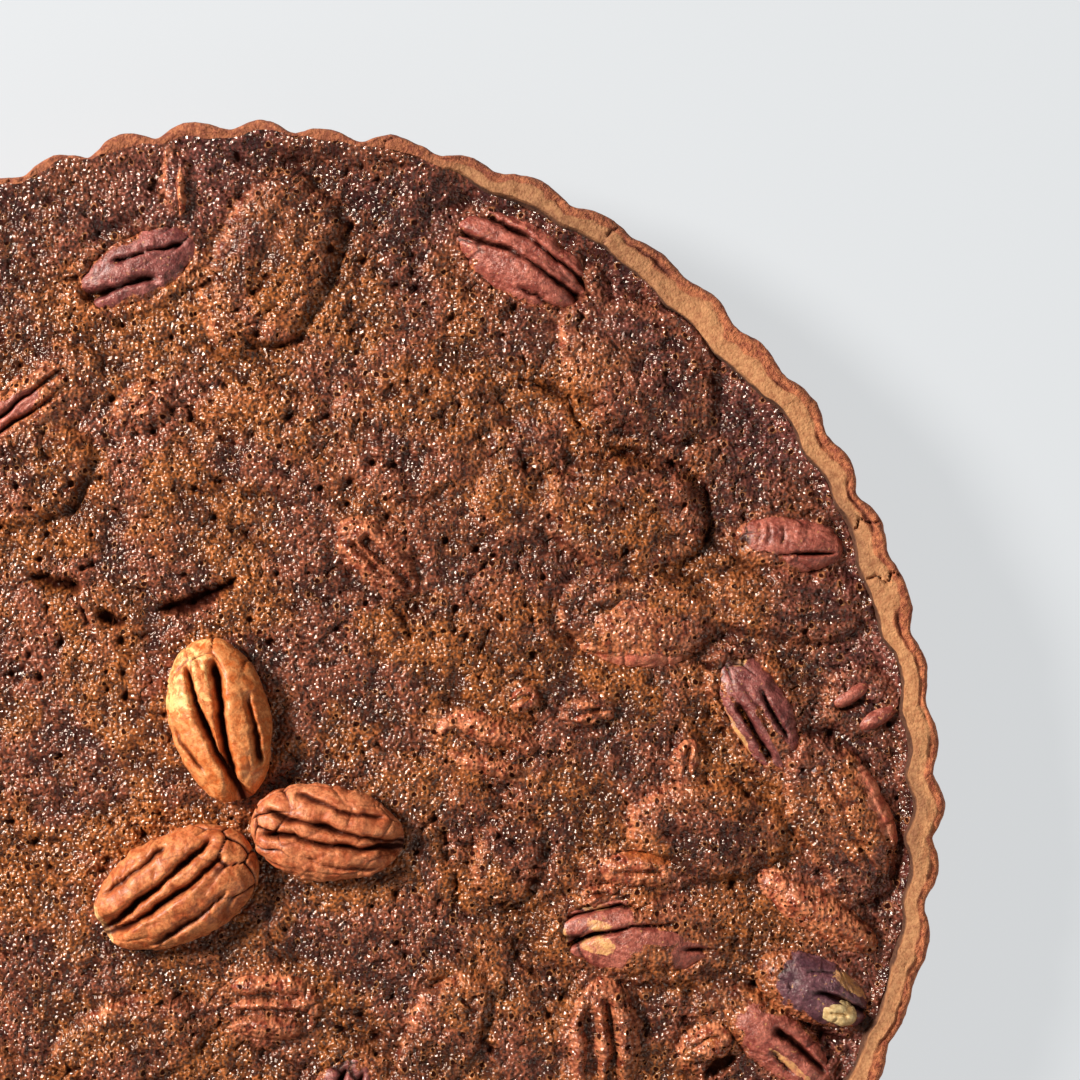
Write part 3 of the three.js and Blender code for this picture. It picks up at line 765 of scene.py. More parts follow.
def build_case(material):
    bm, flute, lift, radius, inside = case_mesh()
    x, y, z = bm_points(bm).T
    angle = np.arctan2(y, x)
    at = degrees_of(angle)
    centre = (radius < 1e-3) & ~inside
    ring = points_at(np.cos(angle), np.sin(angle))
    crown, follow = rim_wave(angle)
    lip = inner_radius(24.6, angle) + follow
    wall = inner_radius(z, angle) + follow * smooth((z - 15) / 8)
    # Below the rim the flutes are as even as the tin that moulded them.
    moulded = 1 - 0.95 * (1 - np.minimum(scallop(angle), 1.05))
    wall_crown = crown + (moulded - crown) * smooth((21 - z) / 7)
    fluted = radius - flute * FLUTE_DEPTH * (1 - wall_crown)
    top = ~inside & (z > 24.3) & (radius < ROUNDING_RADIUS + 0.1)
    across = clamp01((ROUNDING_RADIUS - radius) / RIM_TOP_WIDTH)
    outer_top = ROUNDING_RADIUS - 0.7 * FLUTE_DEPTH * (1 - crown)
    new_radius = np.where(top, outer_top + (lip - outer_top) * across, np.where(inside, wall, fluted))
    out = ring * new_radius[:, None]
    out[:, 2] = z + lift * rim_lift(angle)
    # The share of the way across the rim, from its inner edge to the outside of the flutes.
    outside = RIM_RADIUS - 0.9 * FLUTE_DEPTH * (1 - crown)
    share = clamp01((new_radius - lip) / (outside - lip))
    upper = smooth((z - 18) / 5)
    thin = overrun(angle)
    # The rim tears along its browned outer band, and is crumbly there.
    wander = noise(ring * 60, 4, 31) * 0.12 + noise(out, 1.6, 36) * 0.07
    broken = smooth(noise(ring * 60, 3.2, 32) * 1.5 + 0.2) * (1 - thin)
    fissure = bell((share - 0.64 - wander) / 0.07) * broken * upper * ~inside
    out[:, 2] -= 0.55 * fissure
    crumble = rough(out, 3.2, 3, 41)
    out[:, 2] += (0.34 * crumble + 0.1 * rough(out, 1.1, 2, 43)) * upper
    band = smooth((share - 0.5 - wander) / 0.14) * upper * ~inside
    out[:, 2] += band * (0.5 * rough(out, 1.5, 2, 45) - 0.3 * (1 - thin))
    push = dough_push(out) * smooth((z - 3) / 6)
    out += ring * np.where(centre, 0, push)[:, None]
    drop, torn = rim_cracks(angle, new_radius, share)
    out[:, 2] -= drop * upper
    # Browning: the band, the arcs that baked hotter, and the wall towards its rim.
    hot = smooth((at - 46) / 9) * smooth((300 - at) / 20)
    brown = smooth((share - 0.42 - 1.6 * wander) / 0.26) + 0.25 * crumble * band
    brown = np.maximum(np.where(inside, 0.1, brown), thin * 0.75)
    toasted = hot * smooth(0.7 + 0.9 * noise(ring * 60, 14, 62)) * (0.75 + 0.5 * crumble)
    brown = np.maximum(brown, 0.8 * toasted * ~inside)
    baked = 0.42 + 0.42 * noise(out, 17, 63) + 0.2 * crumble + 0.3 * smooth((z - 6) / 14)
    baked += 0.25 * (moulded - 0.6)
    brown += (clamp01(baked) - brown) * smooth((23 - z) / 6) * ~inside
    sooty = (0.26 * smooth((at - 46) / 9) + 0.1 * smooth((at - 14) / 8)) * smooth((300 - at) / 20)
    # Inside, burnt syrup and painted shade darken the wall between the custard and the rim's top.
    syrup_and_gap_shade = 0.9 * smooth((24.4 + 0.8 * crumble - z) / 0.8)
    stain_and_shade = np.where(inside, syrup_and_gap_shade, sooty * smooth((z - 12) / 11))
    stain_and_shade = np.maximum(stain_and_shade, 0.85 * case_darkening_by_nuts(out, share, crumble) * upper)
    marks = {"brown": brown, "fissure": np.maximum(fissure, 0.9 * torn * upper), "stain_and_shade": stain_and_shade}
    return finish_piece("Shortcrust_case", bm, out, material, ["crust"], 50, marks)


# ---------------------------------------------------------------- the custard

SKIN_RINGS = 176
CRACK_DEPTH = 2.6
MOAT_DEPTH = 0.8
BARE_DEPTH = 2.6
SHRINK_DEPTH = 0.9

USUAL_CREASES = [
    ([(0.82, 0.2), (0.3, 0.21), (-0.4, 0.17), (-1.05, 0.08)], 0.45, 2.2),
    ([(0.82, -0.2), (0.3, -0.21), (-0.4, -0.17), (-1.05, -0.08)], 0.45, 2.2),
    ([(0.5, 0.66), (0, 0.63), (-0.3, 0.6)], 0.35, 0.7),
    ([(0.3, -0.66), (0, -0.63), (-0.6, -0.56)], 0.35, 0.7),
]

USUAL_BARE = [(0, 0, 0.92, 0.8)]

# What is special to a baked half, by its number: its creases, the short dents across it, the ovals of
# its skin that show through the foam and those that are cream, as middle and half sizes along and
# across, how thinly the foam veils the rest, and the tone of its skin.
BAKED_LOOKS = {
    0: dict(
        creases=[
            ([(-0.32, 0.44), (-0.1, 0.36), (0.2, 0.27), (0.5, 0.12), (0.76, 0.06)], 0.36, 1.9),
            ([(-1.05, -0.06), (-0.6, -0.16), (-0.2, -0.26), (0.26, -0.5)], 0.6, 2.4),
        ],
        bare=[(0, 0.02, 0.96, 0.76)], tone=1,
    ),
    1: dict(
        creases=[
            ([(-1.05, 0.2), (-0.78, 0.1), (-0.4, -0.02), (-0.1, -0.12), (0.2, -0.08), (0.6, 0.06),
              (1.05, 0.2)], 0.5, 2.8),
            ([(-1.05, -0.28), (-0.6, -0.42), (-0.2, -0.5), (0.1, -0.6), (1.05, -0.5)], 0.5, 3),
            ([(-0.72, 0.64), (-0.35, 0.58), (-0.05, 0.63)], 0.4, 1.5),
        ],
        bare=[(0, -0.1, 1.1, 1.0)], tone=0,
    ),
    2: dict(
        creases=[([(-0.85, 0.14), (-0.3, 0.26), (0, 0.33), (0.24, 0.4)], 0.32, 1.8)],
        dents=[(0.1, -0.7, 0.1), (0.34, -0.7, 0.1), (0.48, -0.7, 0.05)],
        bare=[(-0.2, -0.3, 1.15, 0.75), (-0.45, 0.3, 0.6, 0.6)], tone=0,
    ),
    3: dict(
        creases=[
            ([(-0.72, 0.33), (-0.4, 0.37), (0, 0.39), (0.32, 0.4)], 0.55, 3.2),
            ([(-0.55, -0.42), (-0.2, -0.36), (0.35, -0.36)], 0.36, 1.4),
            ([(-0.4, 0), (0.1, -0.04), (0.5, 0)], 0.4, 0.6),
        ],
        bare=[
            (0.05, -0.5, 0.85, 0.4), (0.5, 0.05, 0.5, 0.42), (-0.25, 0.2, 0.75, 0.16),
            (-0.2, 0.62, 0.8, 0.2),
        ],
        cream=[(0.8, -0.22, 0.12, 0.24), (-0.15, 0.8, 0.5, 0.1)], tone=1,
    ),
    4: dict(
        creases=[([(-0.7, -0.6), (0.5, -0.62)], 0.4, 0.5), ([(-0.9, 0.1), (0, 0.16), (0.7, 0.1)], 0.6, 0.8)],
        dents=[(place, -1.1, -0.5) for place in (-0.66, -0.3, 0.08, 0.44)],
        bare=[(-0.05, -1, 0.86, 0.52)], tone=4,
    ),
    5: dict(
        creases=[
            ([(-0.55, -0.48), (-0.2, -0.36), (0.1, -0.24), (0.5, 0.05), (0.84, 0.46)], 0.5, 2.6),
            ([(-0.2, -0.74), (0.1, -0.72), (0.5, -0.56), (0.95, -0.22)], 0.42, 2),
            ([(-1.05, 0.16), (-0.7, 0.1), (-0.5, 0.16)], 0.4, 1.6),
        ],
        bare=[(0.5, -0.1, 0.62, 1), (-0.1, -0.12, 0.5, 0.22), (-0.75, 0.3, 0.3, 0.4)],
        cream=[
            (0.42, 0.26, 0.2, 0.22), (0.45, -0.2, 0.16, 0.14), (0.6, -0.66, 0.26, 0.14),
            (0.92, 0.2, 0.12, 0.3),
        ],
        tone=0,
    ),
    6: dict(
        creases=[([(-0.6, 0.1), (0.5, 0.24)], 0.4, 1)],
        bare=[(-0.3, -0.7, 0.6, 0.34)], cream=[(0.8, 0.1, 0.14, 0.5)], veil=0.9, tone=2,
    ),
    7: dict(
        creases=[
            ([(-1.05, -0.1), (-0.6, -0.16), (-0.2, -0.06), (0.1, 0.1)], 0.45, 1.8),
            ([(-0.3, -0.8), (-0.1, -0.7), (0.2, -0.5), (0.34, -0.3)], 0.3, 0.8),
            ([(0.25, 0.5), (0.4, 0.2), (0.55, 0)], 0.3, 0.7),
        ],
        bare=[(-0.15, -0.15, 0.9, 1.1)], cream=[(-0.62, -0.72, 0.44, 0.3)], tone=3,
    ),
    8: dict(
        creases=[
            ([(-0.85, -0.25), (-0.4, -0.3), (0.15, -0.34)], 0.55, 2),
            ([(-0.5, 0.42), (0, 0.26)], 0.4, 1.4),
        ],
        bare=[(-0.3, 0, 0.85, 1.0)], cream=[(-0.35, 0.24, 0.4, 0.12)], tone=0,
    ),
    9: dict(creases=[([(0.7, 0.5), (0.1, 0.54), (-0.8, 0.4)], 0.5, 0.9)], bare=[], veil=0.85, tone=2),
    10: dict(
        creases=[([(-0.7, 0.4), (0.5, 0.5)], 0.4, 0.6)],
        dents=[(-0.4, 0.5, 1.1), (0.2, 0.5, 1.1)], bare=[(-0.1, 1, 0.9, 0.42)], veil=0.6, tone=4,
    ),
    11: dict(
        creases=[([(-0.9, -0.1), (0, -0.16), (0.5, -0.12)], 0.9, 3), ([(-0.5, 0.4), (0.6, 0.36)], 0.7, 2)],
        bare=[], veil=0.55, tone=0,
    ),
    12: dict(creases=[([(-1.05, 0.02), (0, 0.1), (0.8, 0.12)], 1.5, 3.4)], bare=[], veil=0.9, tone=2),
    13: dict(bare=[(-0.35, 0.1, 0.65, 0.34)], veil=0.5, tone=0),
    14: dict(
        creases=[
            ([(-1.05, 0.3), (0, 0.3), (0.7, 0.2)], 1.2, 3.3),
            ([(-1.05, -0.2), (0, -0.16), (0.8, -0.3)], 1, 2.9),
        ],
        bare=[], veil=0.75, tone=2,
    ),
    15: dict(
        creases=[
            ([(-1.05, 0.35), (0, 0.3), (0.7, 0.36)], 1.2, 3.4),
            ([(-1.05, -0.2), (0, -0.26), (0.8, -0.1)], 1.1, 3),
        ],
        bare=[], veil=0.6, tone=2,
    ),
}


def ovals(u, v, shapes, grain):
    """1 inside some ovals, with a ragged edge."""
    best = np.zeros_like(u)
    for middle_u, middle_v, half_u, half_v in shapes:
        out = np.hypot((u - middle_u) / half_u, (v - middle_v) / half_v)
        best = np.maximum(best, smooth((1.2 - out + grain) / 0.5))
    return best


def nearest_of(values, edges):
    """The greatest value at each vertex and its neighbours."""
    best = values.copy()
    np.maximum.at(best, edges[:, 0], values[edges[:, 1]])
    np.maximum.at(best, edges[:, 1], values[edges[:, 0]])
    return best


def pit_centres(draw, edges, reach):
    """Vertices whose draw is above all others' within so many edges."""
    best = draw
    for _ in range(reach):
        best = nearest_of(best, edges)
    return (draw >= best) & (draw > 0)


def place_rings(xy, edges, owner, radius, share):
    """Moves the neighbours of some vertices to a share of a radius round them."""
    both = np.concatenate([edges, edges[:, ::-1]])
    pairs = both[owner[both[:, 0]] >= 0]
    pairs = pairs[owner[pairs[:, 1]] < 0]
    centre = owner[pairs[:, 0]]
    away = xy[pairs[:, 1]] - xy[centre]
    length = np.maximum(np.linalg.norm(away, axis=1), 1e-6)
    target = xy[centre] + away / length[:, None] * (radius[centre] * share)[:, None]
    total = np.zeros_like(xy)
    count = np.zeros(len(xy))
    np.add.at(total, pairs[:, 1], target)
    np.add.at(count, pairs[:, 1], 1)
    moved = count > 0
    xy[moved] = total[moved] / count[moved][:, None]
    new_owner = owner.copy()
    new_owner[pairs[:, 1]] = centre
    return new_owner, moved


def crack_depth(x, y):
    """Share of their full depth that the cracks have at points of the skin."""
    depth = np.zeros_like(x)
    wobble = 0.7 * noise(points_at(x, y), 2.2, 71)
    for width, line in CRACKS + FINE_CRACKS:
        line = np.array(line, dtype=float)
        steps = np.linspace(0, len(line) - 1, 60)
        px = np.interp(steps, range(len(line)), line[:, 0])
        py = np.interp(steps, range(len(line)), line[:, 1])
        near = (np.abs(x - px.mean()) < 20) & (np.abs(y - py.mean()) < 20)
        gap = np.hypot(x[near][:, None] - px, y[near][:, None] - py)
        at = gap.argmin(axis=1)
        along = steps[at] / (len(line) - 1)
        half = width / 2 * np.sin(np.pi * np.clip(along, 0.02, 0.98)) ** 0.6
        edge = 0.3 + 0.3 * min(width, 2)
        reach = smooth((half + 0.6 * edge - gap[np.arange(len(at)), at] - wobble[near] * 0.5) / edge)
        depth[near] = np.maximum(depth[near], reach * min(1, 0.3 + 0.35 * width))
    return depth


def skin_mesh():
    """A hexagon of triangles, with a wall hung from its edge and closed below."""
    bm = bmesh.new()
    bmesh.ops.create_circle(bm, cap_ends=True, cap_tris=True, segments=6, radius=1)
    bmesh.ops.subdivide_edges(bm, edges=bm.edges[:], cuts=SKIN_RINGS - 1, use_grid_fill=True)
    top_count = len(bm.verts)
    border = [edge for edge in bm.edges if edge.is_boundary]
    walls = bmesh.ops.extrude_edge_only(bm, edges=border)
    under = [part for part in walls["geom"] if isinstance(part, bmesh.types.BMEdge)]
    bmesh.ops.edgeloop_fill(bm, edges=under)
    return bm, top_count


def rings_of(flat):
    """Each point's ring, from 0 to 1, and its angle, when the hexagon's rings become round."""
    sixth = TAU / 6
    turn = np.arctan2(flat[:, 1], flat[:, 0])
    corner = np.arctan2(*flat[np.hypot(flat[:, 0], flat[:, 1]) > 1 - 1e-6][0][1::-1])
    sector = np.floor(((turn - corner) % TAU) / sixth + 1e-9)
    first = corner + sector * sixth
    a = round_at(1, first)
    b = round_at(1, first + sixth)
    cross = a[:, 0] * b[:, 1] - a[:, 1] * b[:, 0]
    share_a = (flat[:, 0] * b[:, 1] - flat[:, 1] * b[:, 0]) / cross
    share_b = (a[:, 0] * flat[:, 1] - a[:, 1] * flat[:, 0]) / cross
    ring = share_a + share_b
    along = np.where(ring > 1e-9, share_b / np.maximum(ring, 1e-9), 0)
    return ring, first + along * sixth


def open_pits(xy, pairs, inner, rng):
    """Gathers vertices round the pits that bubbles left, and says how far each sinks and how much painted
    shade it gets.
    """
    count = len(xy)
    frothy = clamp01(0.5 + 0.9 * rough(points_at(*xy.T), 9, 2, 5)) ** 2
    draw = rng.random(count)
    wide = pit_centres(np.where(inner & (rng.random(count) < 0.002 + 0.012 * frothy), draw, 0), pairs, 2)
    taken = wide.astype(float)
    for _ in range(2):
        taken = nearest_of(taken, pairs)
    free = inner & (taken < 0.5) & (rng.random(count) < 0.05 + 0.3 * frothy)
    small = pit_centres(np.where(free, draw, 0), pairs, 1)
    size = np.where(wide, 0.42 + 0.45 * rng.random(count) ** 2, rng.uniform(0.2, 0.42, count))
    number = np.arange(count)
    hollow_shade = np.zeros(count)
    sink = np.zeros(count)
    # A wide pit has a steep ring round its floor, and a second ring at its brim.
    owner = np.where(wide, number, -1)
    ring_one, moved_one = place_rings(xy, pairs, owner, size, 0.7)
    place_rings(xy, pairs, ring_one, size, 1.12)
    sink[moved_one] = 1.2 * size[ring_one[moved_one]]
    hollow_shade[moved_one] = 0.75
    sink[wide] = size[wide] * 1.7
    hollow_shade[wide] = 1
    # A small one is a single point inside its brim.
    owner = np.where(small, number, -1)
    _, moved_small = place_rings(xy, pairs, owner, size, 1.0)
    sink[small] = size[small] * 1.9
    hollow_shade[small] = 0.4 + size[small]
    hollow_shade[moved_small] = np.maximum(hollow_shade[moved_small], 0.12)
    sink[moved_small] -= 0.05
    return sink, hollow_shade


def skin_thinness_and_lit_side(x, y):
    """How thinly the skin covers the nearest nut, and how much painted light a mound's side towards the
    window gets.
    """
    thin_skin_and_lit_side = np.zeros_like(x)
    for nut in COVERED_NUTS + SUNK_NUTS:
        u, v = on_nut(nut, x, y, nut.get("cover", 0) * 0.3)
        thin_skin_and_lit_side = np.maximum(thin_skin_and_lit_side, bell((np.hypot(u, v) - 0.92) / 0.16) * 0.35)
    # Painted light: a mound's side towards the window is made lighter, as if lit.
    far, _ = mounds(x + 0.7, y - 0.3)
    near, _ = mounds(x - 0.7, y + 0.3)
    thin_skin_and_lit_side = np.maximum(thin_skin_and_lit_side, 0.9 * smooth((far - near - 0.25) / 0.9))
    return thin_skin_and_lit_side * smooth(0.6 + 1.1 * rough(points_at(x, y), 5, 2, 37))


def build_custard(material):
    bm, top_count = skin_mesh()
    flat = bm_points(bm)
    ring, angle = rings_of(flat)
    top = np.arange(len(flat)) < top_count
    # The edge follows the case's wall.
    wall = points_at(*round_at(FLOOR_RADIUS, angle).T * 1.04, CUSTARD_LEVEL)
    edge_radius = skin_radius(angle) + 0.7 + 0.85 * rim_wave(angle)[1] + dough_push(wall)
    xy = round_at(edge_radius * ring, angle)
    loose = top & (ring < 1 - 1.5 / SKIN_RINGS)
    rng = np.random.default_rng(11)
    xy[loose] += rng.uniform(-0.26, 0.26, (loose.sum(), 2)) * (FLOOR_RADIUS / SKIN_RINGS)
    pairs = np.array([(e.verts[0].index, e.verts[1].index) for e in bm.edges])
    pairs = pairs[(pairs < top_count).all(axis=1)]
    sink, hollow_shade = open_pits(xy, pairs, top & (ring < 1 - 3 / SKIN_RINGS), rng)
    x, y = xy.T
    spot = points_at(x, y)
    z, foot = custard_top(x, y)
    seats = np.max([smooth((1.15 - np.hypot(*on_nut(nut, x, y))) / 0.2) for nut in LOOSE_NUTS], axis=0)
    relief = 0.5 * rough(spot, 7, 2, 21) + 0.5 * rough(spot, 2.6, 2, 22) + 0.26 * noise(spot, 1.3, 24)
    z += relief * (1 - 0.7 * seats) * smooth((1 - ring) / 0.02)
    cracked = crack_depth(x, y)
    foot *= smooth(0.55 + 1.2 * rough(spot, 6, 2, 26)) * (1 - seats)
    z -= sink * (1 - seats) + CRACK_DEPTH * cracked + MOAT_DEPTH * foot
    # Painted shade darkens the pits, the cracks and the moats at the mounds' feet.
    hollow_shade = np.maximum(np.maximum(hollow_shade * (1 - seats), cracked), 0.5 * foot)
    # Where a baked half shows bare, the skin is out of its way.
    for i, nut in enumerate(SUNK_NUTS):
        u, v = on_nut(nut, x, y)
        open_skin = ovals(u, v, BAKED_LOOKS.get(i, {}).get("bare", USUAL_BARE), 0)
        z -= BARE_DEPTH * open_skin * smooth((0.9 - np.hypot(u, v)) / 0.14)
    # Where the custard didn't run over the case, its edge shrank, and burnt syrup creeps up.
    kept_in = 1 - overrun(angle)
    shrunk = smooth((ring - 0.975) / 0.025) * kept_in
    z -= SHRINK_DEPTH * shrunk * (0.6 + 0.4 * rough(spot, 12, 2, 33))
    z += smooth((ring - 0.982) / 0.018) * kept_in * (1.5 + 1.1 * rough(spot, 5, 3, 38))
    # Where it did, it laps over the rim.
    lap = smooth((ring - 0.965) / 0.035) * overrun(angle)
    z += lap * (RIM_HEIGHT + 0.25 + rim_lift(angle) - z)
    lapped = xy + round_at(lap * (0.9 + 1.1 * rough(spot, 5, 2, 34)), angle)
    bottom = FLOOR_THICKNESS + 0.3
    low = round_at(inner_radius(bottom, angle) - CRUST_GAP, angle)
    points = points_at(*np.where(top[:, None], lapped, low).T, np.where(top, z, bottom))
    rim = smooth((ring - 0.76) / 0.2) * (0.75 + 0.4 * rough(spot, 18, 2, 35))
    bmesh.ops.recalc_face_normals(bm, faces=bm.faces)
    marks = {"hollow_shade": clamp01(hollow_shade), "thin_skin_and_lit_side": skin_thinness_and_lit_side(x, y)}
    marks.update(rim=clamp01(np.maximum(rim, shrunk)), ridge=clamp01(0.5 + 0.75 * relief))
    return finish_piece("Baked_custard", bm, points, material, ["custard"], 89, marks)


# ---------------------------------------------------------------- pecan halves

# A crease: points along and across the nut as shares of its half sizes, width and depth in
# millimetres. Across is to the left of the nut's heading.
LOOSE_CREASES = [
    [
        ([(0.80, 0.38), (0.15, 0.31), (-0.33, 0.19), (-0.74, -0.03), (-1.05, -0.1)], 0.62, 3.0),
        ([(0.80, -0.2), (0.09, -0.09), (-0.44, -0.04), (-0.74, -0.08), (-1.05, -0.13)], 0.75, 3.4),
        ([(0.3, -0.72), (0.06, -0.67), (-0.36, -0.65), (-0.66, -0.6)], 0.6, 1.7),
        ([(0.1, 0.88), (-0.1, 0.83), (-0.37, 0.65), (-0.62, 0.45)], 0.5, 1.3),
        ([(0.97, 0.25), (0.6, 0.05)], 0.3, 0.8),
    ],
    [
        ([(0.88, -0.33), (0.42, -0.21), (0, -0.12), (-0.45, -0.02), (-1.05, -0.02)], 0.6, 2.7),
        ([(0.86, 0.14), (0.4, 0.12), (-0.04, 0.2), (-0.47, 0.23), (-1.05, 0.1)], 0.6, 2.9),
        ([(0.5, -0.76), (0.38, -0.72), (-0.07, -0.54), (-0.41, -0.47), (-0.8, -0.54)], 0.5, 1.3),
        ([(0.3, 0.5), (0.08, 0.54), (-0.22, 0.67), (-0.78, 0.61)], 0.45, 1.1),
    ],
    [
        ([(0.7, 0.55), (0.4, 0.42), (0.02, 0.26), (-0.35, 0.13), (-0.7, -0.05), (-1.05, -0.12)], 0.7, 2.9),
        ([(0.75, 0.2), (0.5, 0.12), (0.13, -0.04), (-0.33, -0.18), (-0.65, -0.23), (-1.05, -0.2)], 0.7, 2.9),
        ([(0.2, 0.78), (-0.06, 0.71), (-0.41, 0.58), (-0.8, 0.45)], 0.5, 1.2),
        ([(0.6, -0.36), (0.5, -0.41), (0.13, -0.6), (-0.21, -0.7), (-0.6, -0.75)], 0.6, 1.4),
    ],
]

# How hard each loose half's skin is wrinkled.
LOOSE_WRINKLES = [0.75, 1.2, 1.15]

# How many degrees of the ball round its top a half's grid covers, and how boxy the ball is.
BALL_REACH = 116
PLAN_BOXINESS = 2.08
SIDE_BOXINESS = 2.2


def boxy(points):
    """Points of a unit sphere pushed out to a slightly boxy one."""
    flat = np.abs(points[:, 0]) ** PLAN_BOXINESS + np.abs(points[:, 1]) ** PLAN_BOXINESS
    size = flat ** (SIDE_BOXINESS / PLAN_BOXINESS) + np.abs(points[:, 2]) ** SIDE_BOXINESS
    return points / size[:, None] ** (1 / SIDE_BOXINESS)


def nut_ball(along_cells, across_cells):
    """A grid wrapped round a ball: its bmesh, its points, their angles from the top, and its brim."""
    bm = bmesh.new()
    bmesh.ops.create_grid(bm, x_segments=along_cells, y_segments=across_cells, size=1)
    border = [edge for edge in bm.edges if edge.is_boundary]
    bmesh.ops.edgeloop_fill(bm, edges=border)
    a, b, _ = bm_points(bm).T
    wide = np.abs(a) > np.abs(b)
    radius = np.maximum(np.abs(a), np.abs(b))
    safe = np.where(radius < 1e-9, 1, radius)
    turn = np.where(wide, b / safe * np.sign(a), np.sign(b) * (2 - a / safe)) * math.pi / 4
    turn = np.where(wide & (a < 0), turn + math.pi, turn)
    polar = radius * math.radians(BALL_REACH)
    ball = points_at(np.sin(polar) * np.cos(turn), np.sin(polar) * np.sin(turn), np.cos(polar))
    bmesh.ops.recalc_face_normals(bm, faces=bm.faces)
    return bm, boxy(ball), polar, radius > 1 - 1e-6


def cut_grooves(creases, u, v, x, width, wiggle, fine_wiggle, seed):
    """How far the creases sink each point of a half, and how much painted shade they put there."""
    sunk = np.zeros_like(u)
    dark = np.zeros_like(u)
    for i, (line, half, depth) in enumerate(creases):
        line = np.array(sorted(line))
        middle = np.interp(u, line[:, 0], line[:, 1])
        first, last = line[0, 0], line[-1, 0]
        runs_out = first < -1
        if runs_out:
            ends = smooth((last - u) / 0.22)
        else:
            ends = smooth((u - first) / 0.16) * smooth((last - u) / 0.16)
        off = (v - middle) * width / 2 + (wiggle if i % 2 else -wiggle) + fine_wiggle
        varied = 1 + 0.3 * noise(points_at(x, i * 9), 4, seed + i)
        # The grooves gape where the lobes part at the open end.
        gape = 1 + (1.5 * smooth((-0.6 - u) / 0.4) if runs_out and depth > 2 else 0)
        cut = bell(off / (half * varied * gape)) * ends * varied
        sunk = np.maximum(sunk, cut * depth * (0.4 + 0.6 * gape))
        dark = np.maximum(dark, bell(off / (half * varied)) * ends * varied * min(1, depth / 1.6))
    return sunk, dark


def cut_dents(dents, u, v, y, length, fine_wiggle, seed):
    """How far short dents across a half sink each point, which is also how much painted shade they put
    there.
    """
    sunk = np.zeros_like(u)
    for place, low, high in dents:
        off = (u - place) * length / 2 + fine_wiggle + 0.25 * noise(points_at(y), 1.5, seed)
        cut = bell(off / 0.3) * smooth((v - low) / 0.12) * smooth((high - v) / 0.12)
        sunk = np.maximum(sunk, 0.5 * cut)
    return sunk


def sink_ridge(creases, u, v, thick):
    """How far the ridge between the two deep grooves sinks towards the open end."""
    grooves = [np.array(sorted(line)) for line, _, depth in creases if depth > 2]
    if len(grooves) < 2:
        return 0
    one, two = (np.interp(u, line[:, 0], line[:, 1]) for line in grooves[:2])
    between = bell((v - (one + two) / 2) / np.maximum(np.abs(one - two) * 0.5, 0.05))
    return between * (0.25 + 0.5 * (1 - u)) * thick / 8 * smooth((0.9 - u) / 0.4)


def nut_surface(nut, creases, seed, wrinkle, along_cells, across_cells, dents=()):
    """A pecan half at its own place: its bmesh, its points, and how deep each lies in a crease."""
    length, width = nut["length"], nut["width"]
    thick = nut.get("thick", USUAL_THICKNESS)
    bm, ball, polar, brim = nut_ball(along_cells, across_cells)
    belly = 0.3 * thick
    below = clamp01((polar - math.pi / 2) / math.radians(BALL_REACH - 90))
    u, v, up = ball.T
    x = u * length / 2
    y = v * width / 2 * (1 + 0.05 * u)
    z = np.where(up > 0, belly + up * (thick - belly), belly * (1 - below**1.6))
    points = points_at(x, y, z)
    steep = np.maximum(z - belly, 0) / (thick - belly) ** 2
    normal = points_at(x / (length / 2) ** 2, y / (width / 2) ** 2, steep)
    normal /= np.maximum(np.linalg.norm(normal, axis=1), 1e-9)[:, None]
    wiggle = 0.35 * noise(points_at(x, 0, seed * 5), 3.5, seed)
    fine_wiggle = 0.16 * noise(points_at(x, y * 0.2), 1.1, seed + 3)
    sunk, dark = cut_grooves(creases, u, v, x, width, wiggle, fine_wiggle, seed)
    dented = cut_dents(dents, u, v, y, length, fine_wiggle, seed)
    sunk = np.maximum(sunk, dented) + sink_ridge(creases, u, v, thick)
    dark = np.maximum(dark, dented)
    # The skin: folds along the half, lumps, a net of fine cracks and faint rings across it.
    local = points + seed * 37.0
    folds = rough(points_at(x / 1.5, y / 4.2, z / 3) + seed * 13, 1.0, 3, seed + 20)
    shape = 0.28 * rough(local, 7, 2, seed + 30)
    lumps = 0.2 * noise(local, 2.6, seed + 31)
    net = smooth((0.09 - cell_walls(local * (0.6, 1, 1), 5.5, seed + 40)) / 0.09)
    net *= 0.35 * wrinkle * (1 + 1.4 * smooth((u - 0.45) / 0.25))
    rings = 0.12 * noise(points_at(x, y / 3) + seed, 1.3, seed + 35) * smooth(np.abs(v) * 2.5 - 0.4)
    drop = wrinkle * (0.34 * folds + lumps + rings) + net * 0.6
    # Painted shade in the net's fine cracks and in the deepest folds.
    dark = np.maximum(dark, net * 1.1)
    dark = np.maximum(dark, smooth(folds * wrinkle * 1.2 - 0.35) * 0.5)
    moved = points + normal * (shape - drop)[:, None]
    moved[:, 2] -= np.minimum(sunk, 0.92 * moved[:, 2])
    moved[:, 2] = np.where(brim, 0, np.maximum(moved[:, 2], 0))
    turn = math.radians(nut["heading"])
    along, across, height = moved.T
    turned = points_at(
        along * math.cos(turn) - across * math.sin(turn) + nut["x"],
        along * math.sin(turn) + across * math.cos(turn) + nut["y"],
        height,
    )
    return bm, turned, clamp01(dark), u, v


def loose_cream(i, u, v):
    """How much cream shows through the skin of each loose half."""
    if i == 0:
        patch = smooth((u + 0.1) / 0.4) * smooth((v + 0.35) / 0.3)
        return 0.45 * patch + 0.4 * bell((u - 0.34) / 0.07) * (v > 0.3)
    if i == 2:
        return 0.8 * smooth((-u - 0.86) / 0.08)
    return np.zeros_like(u)


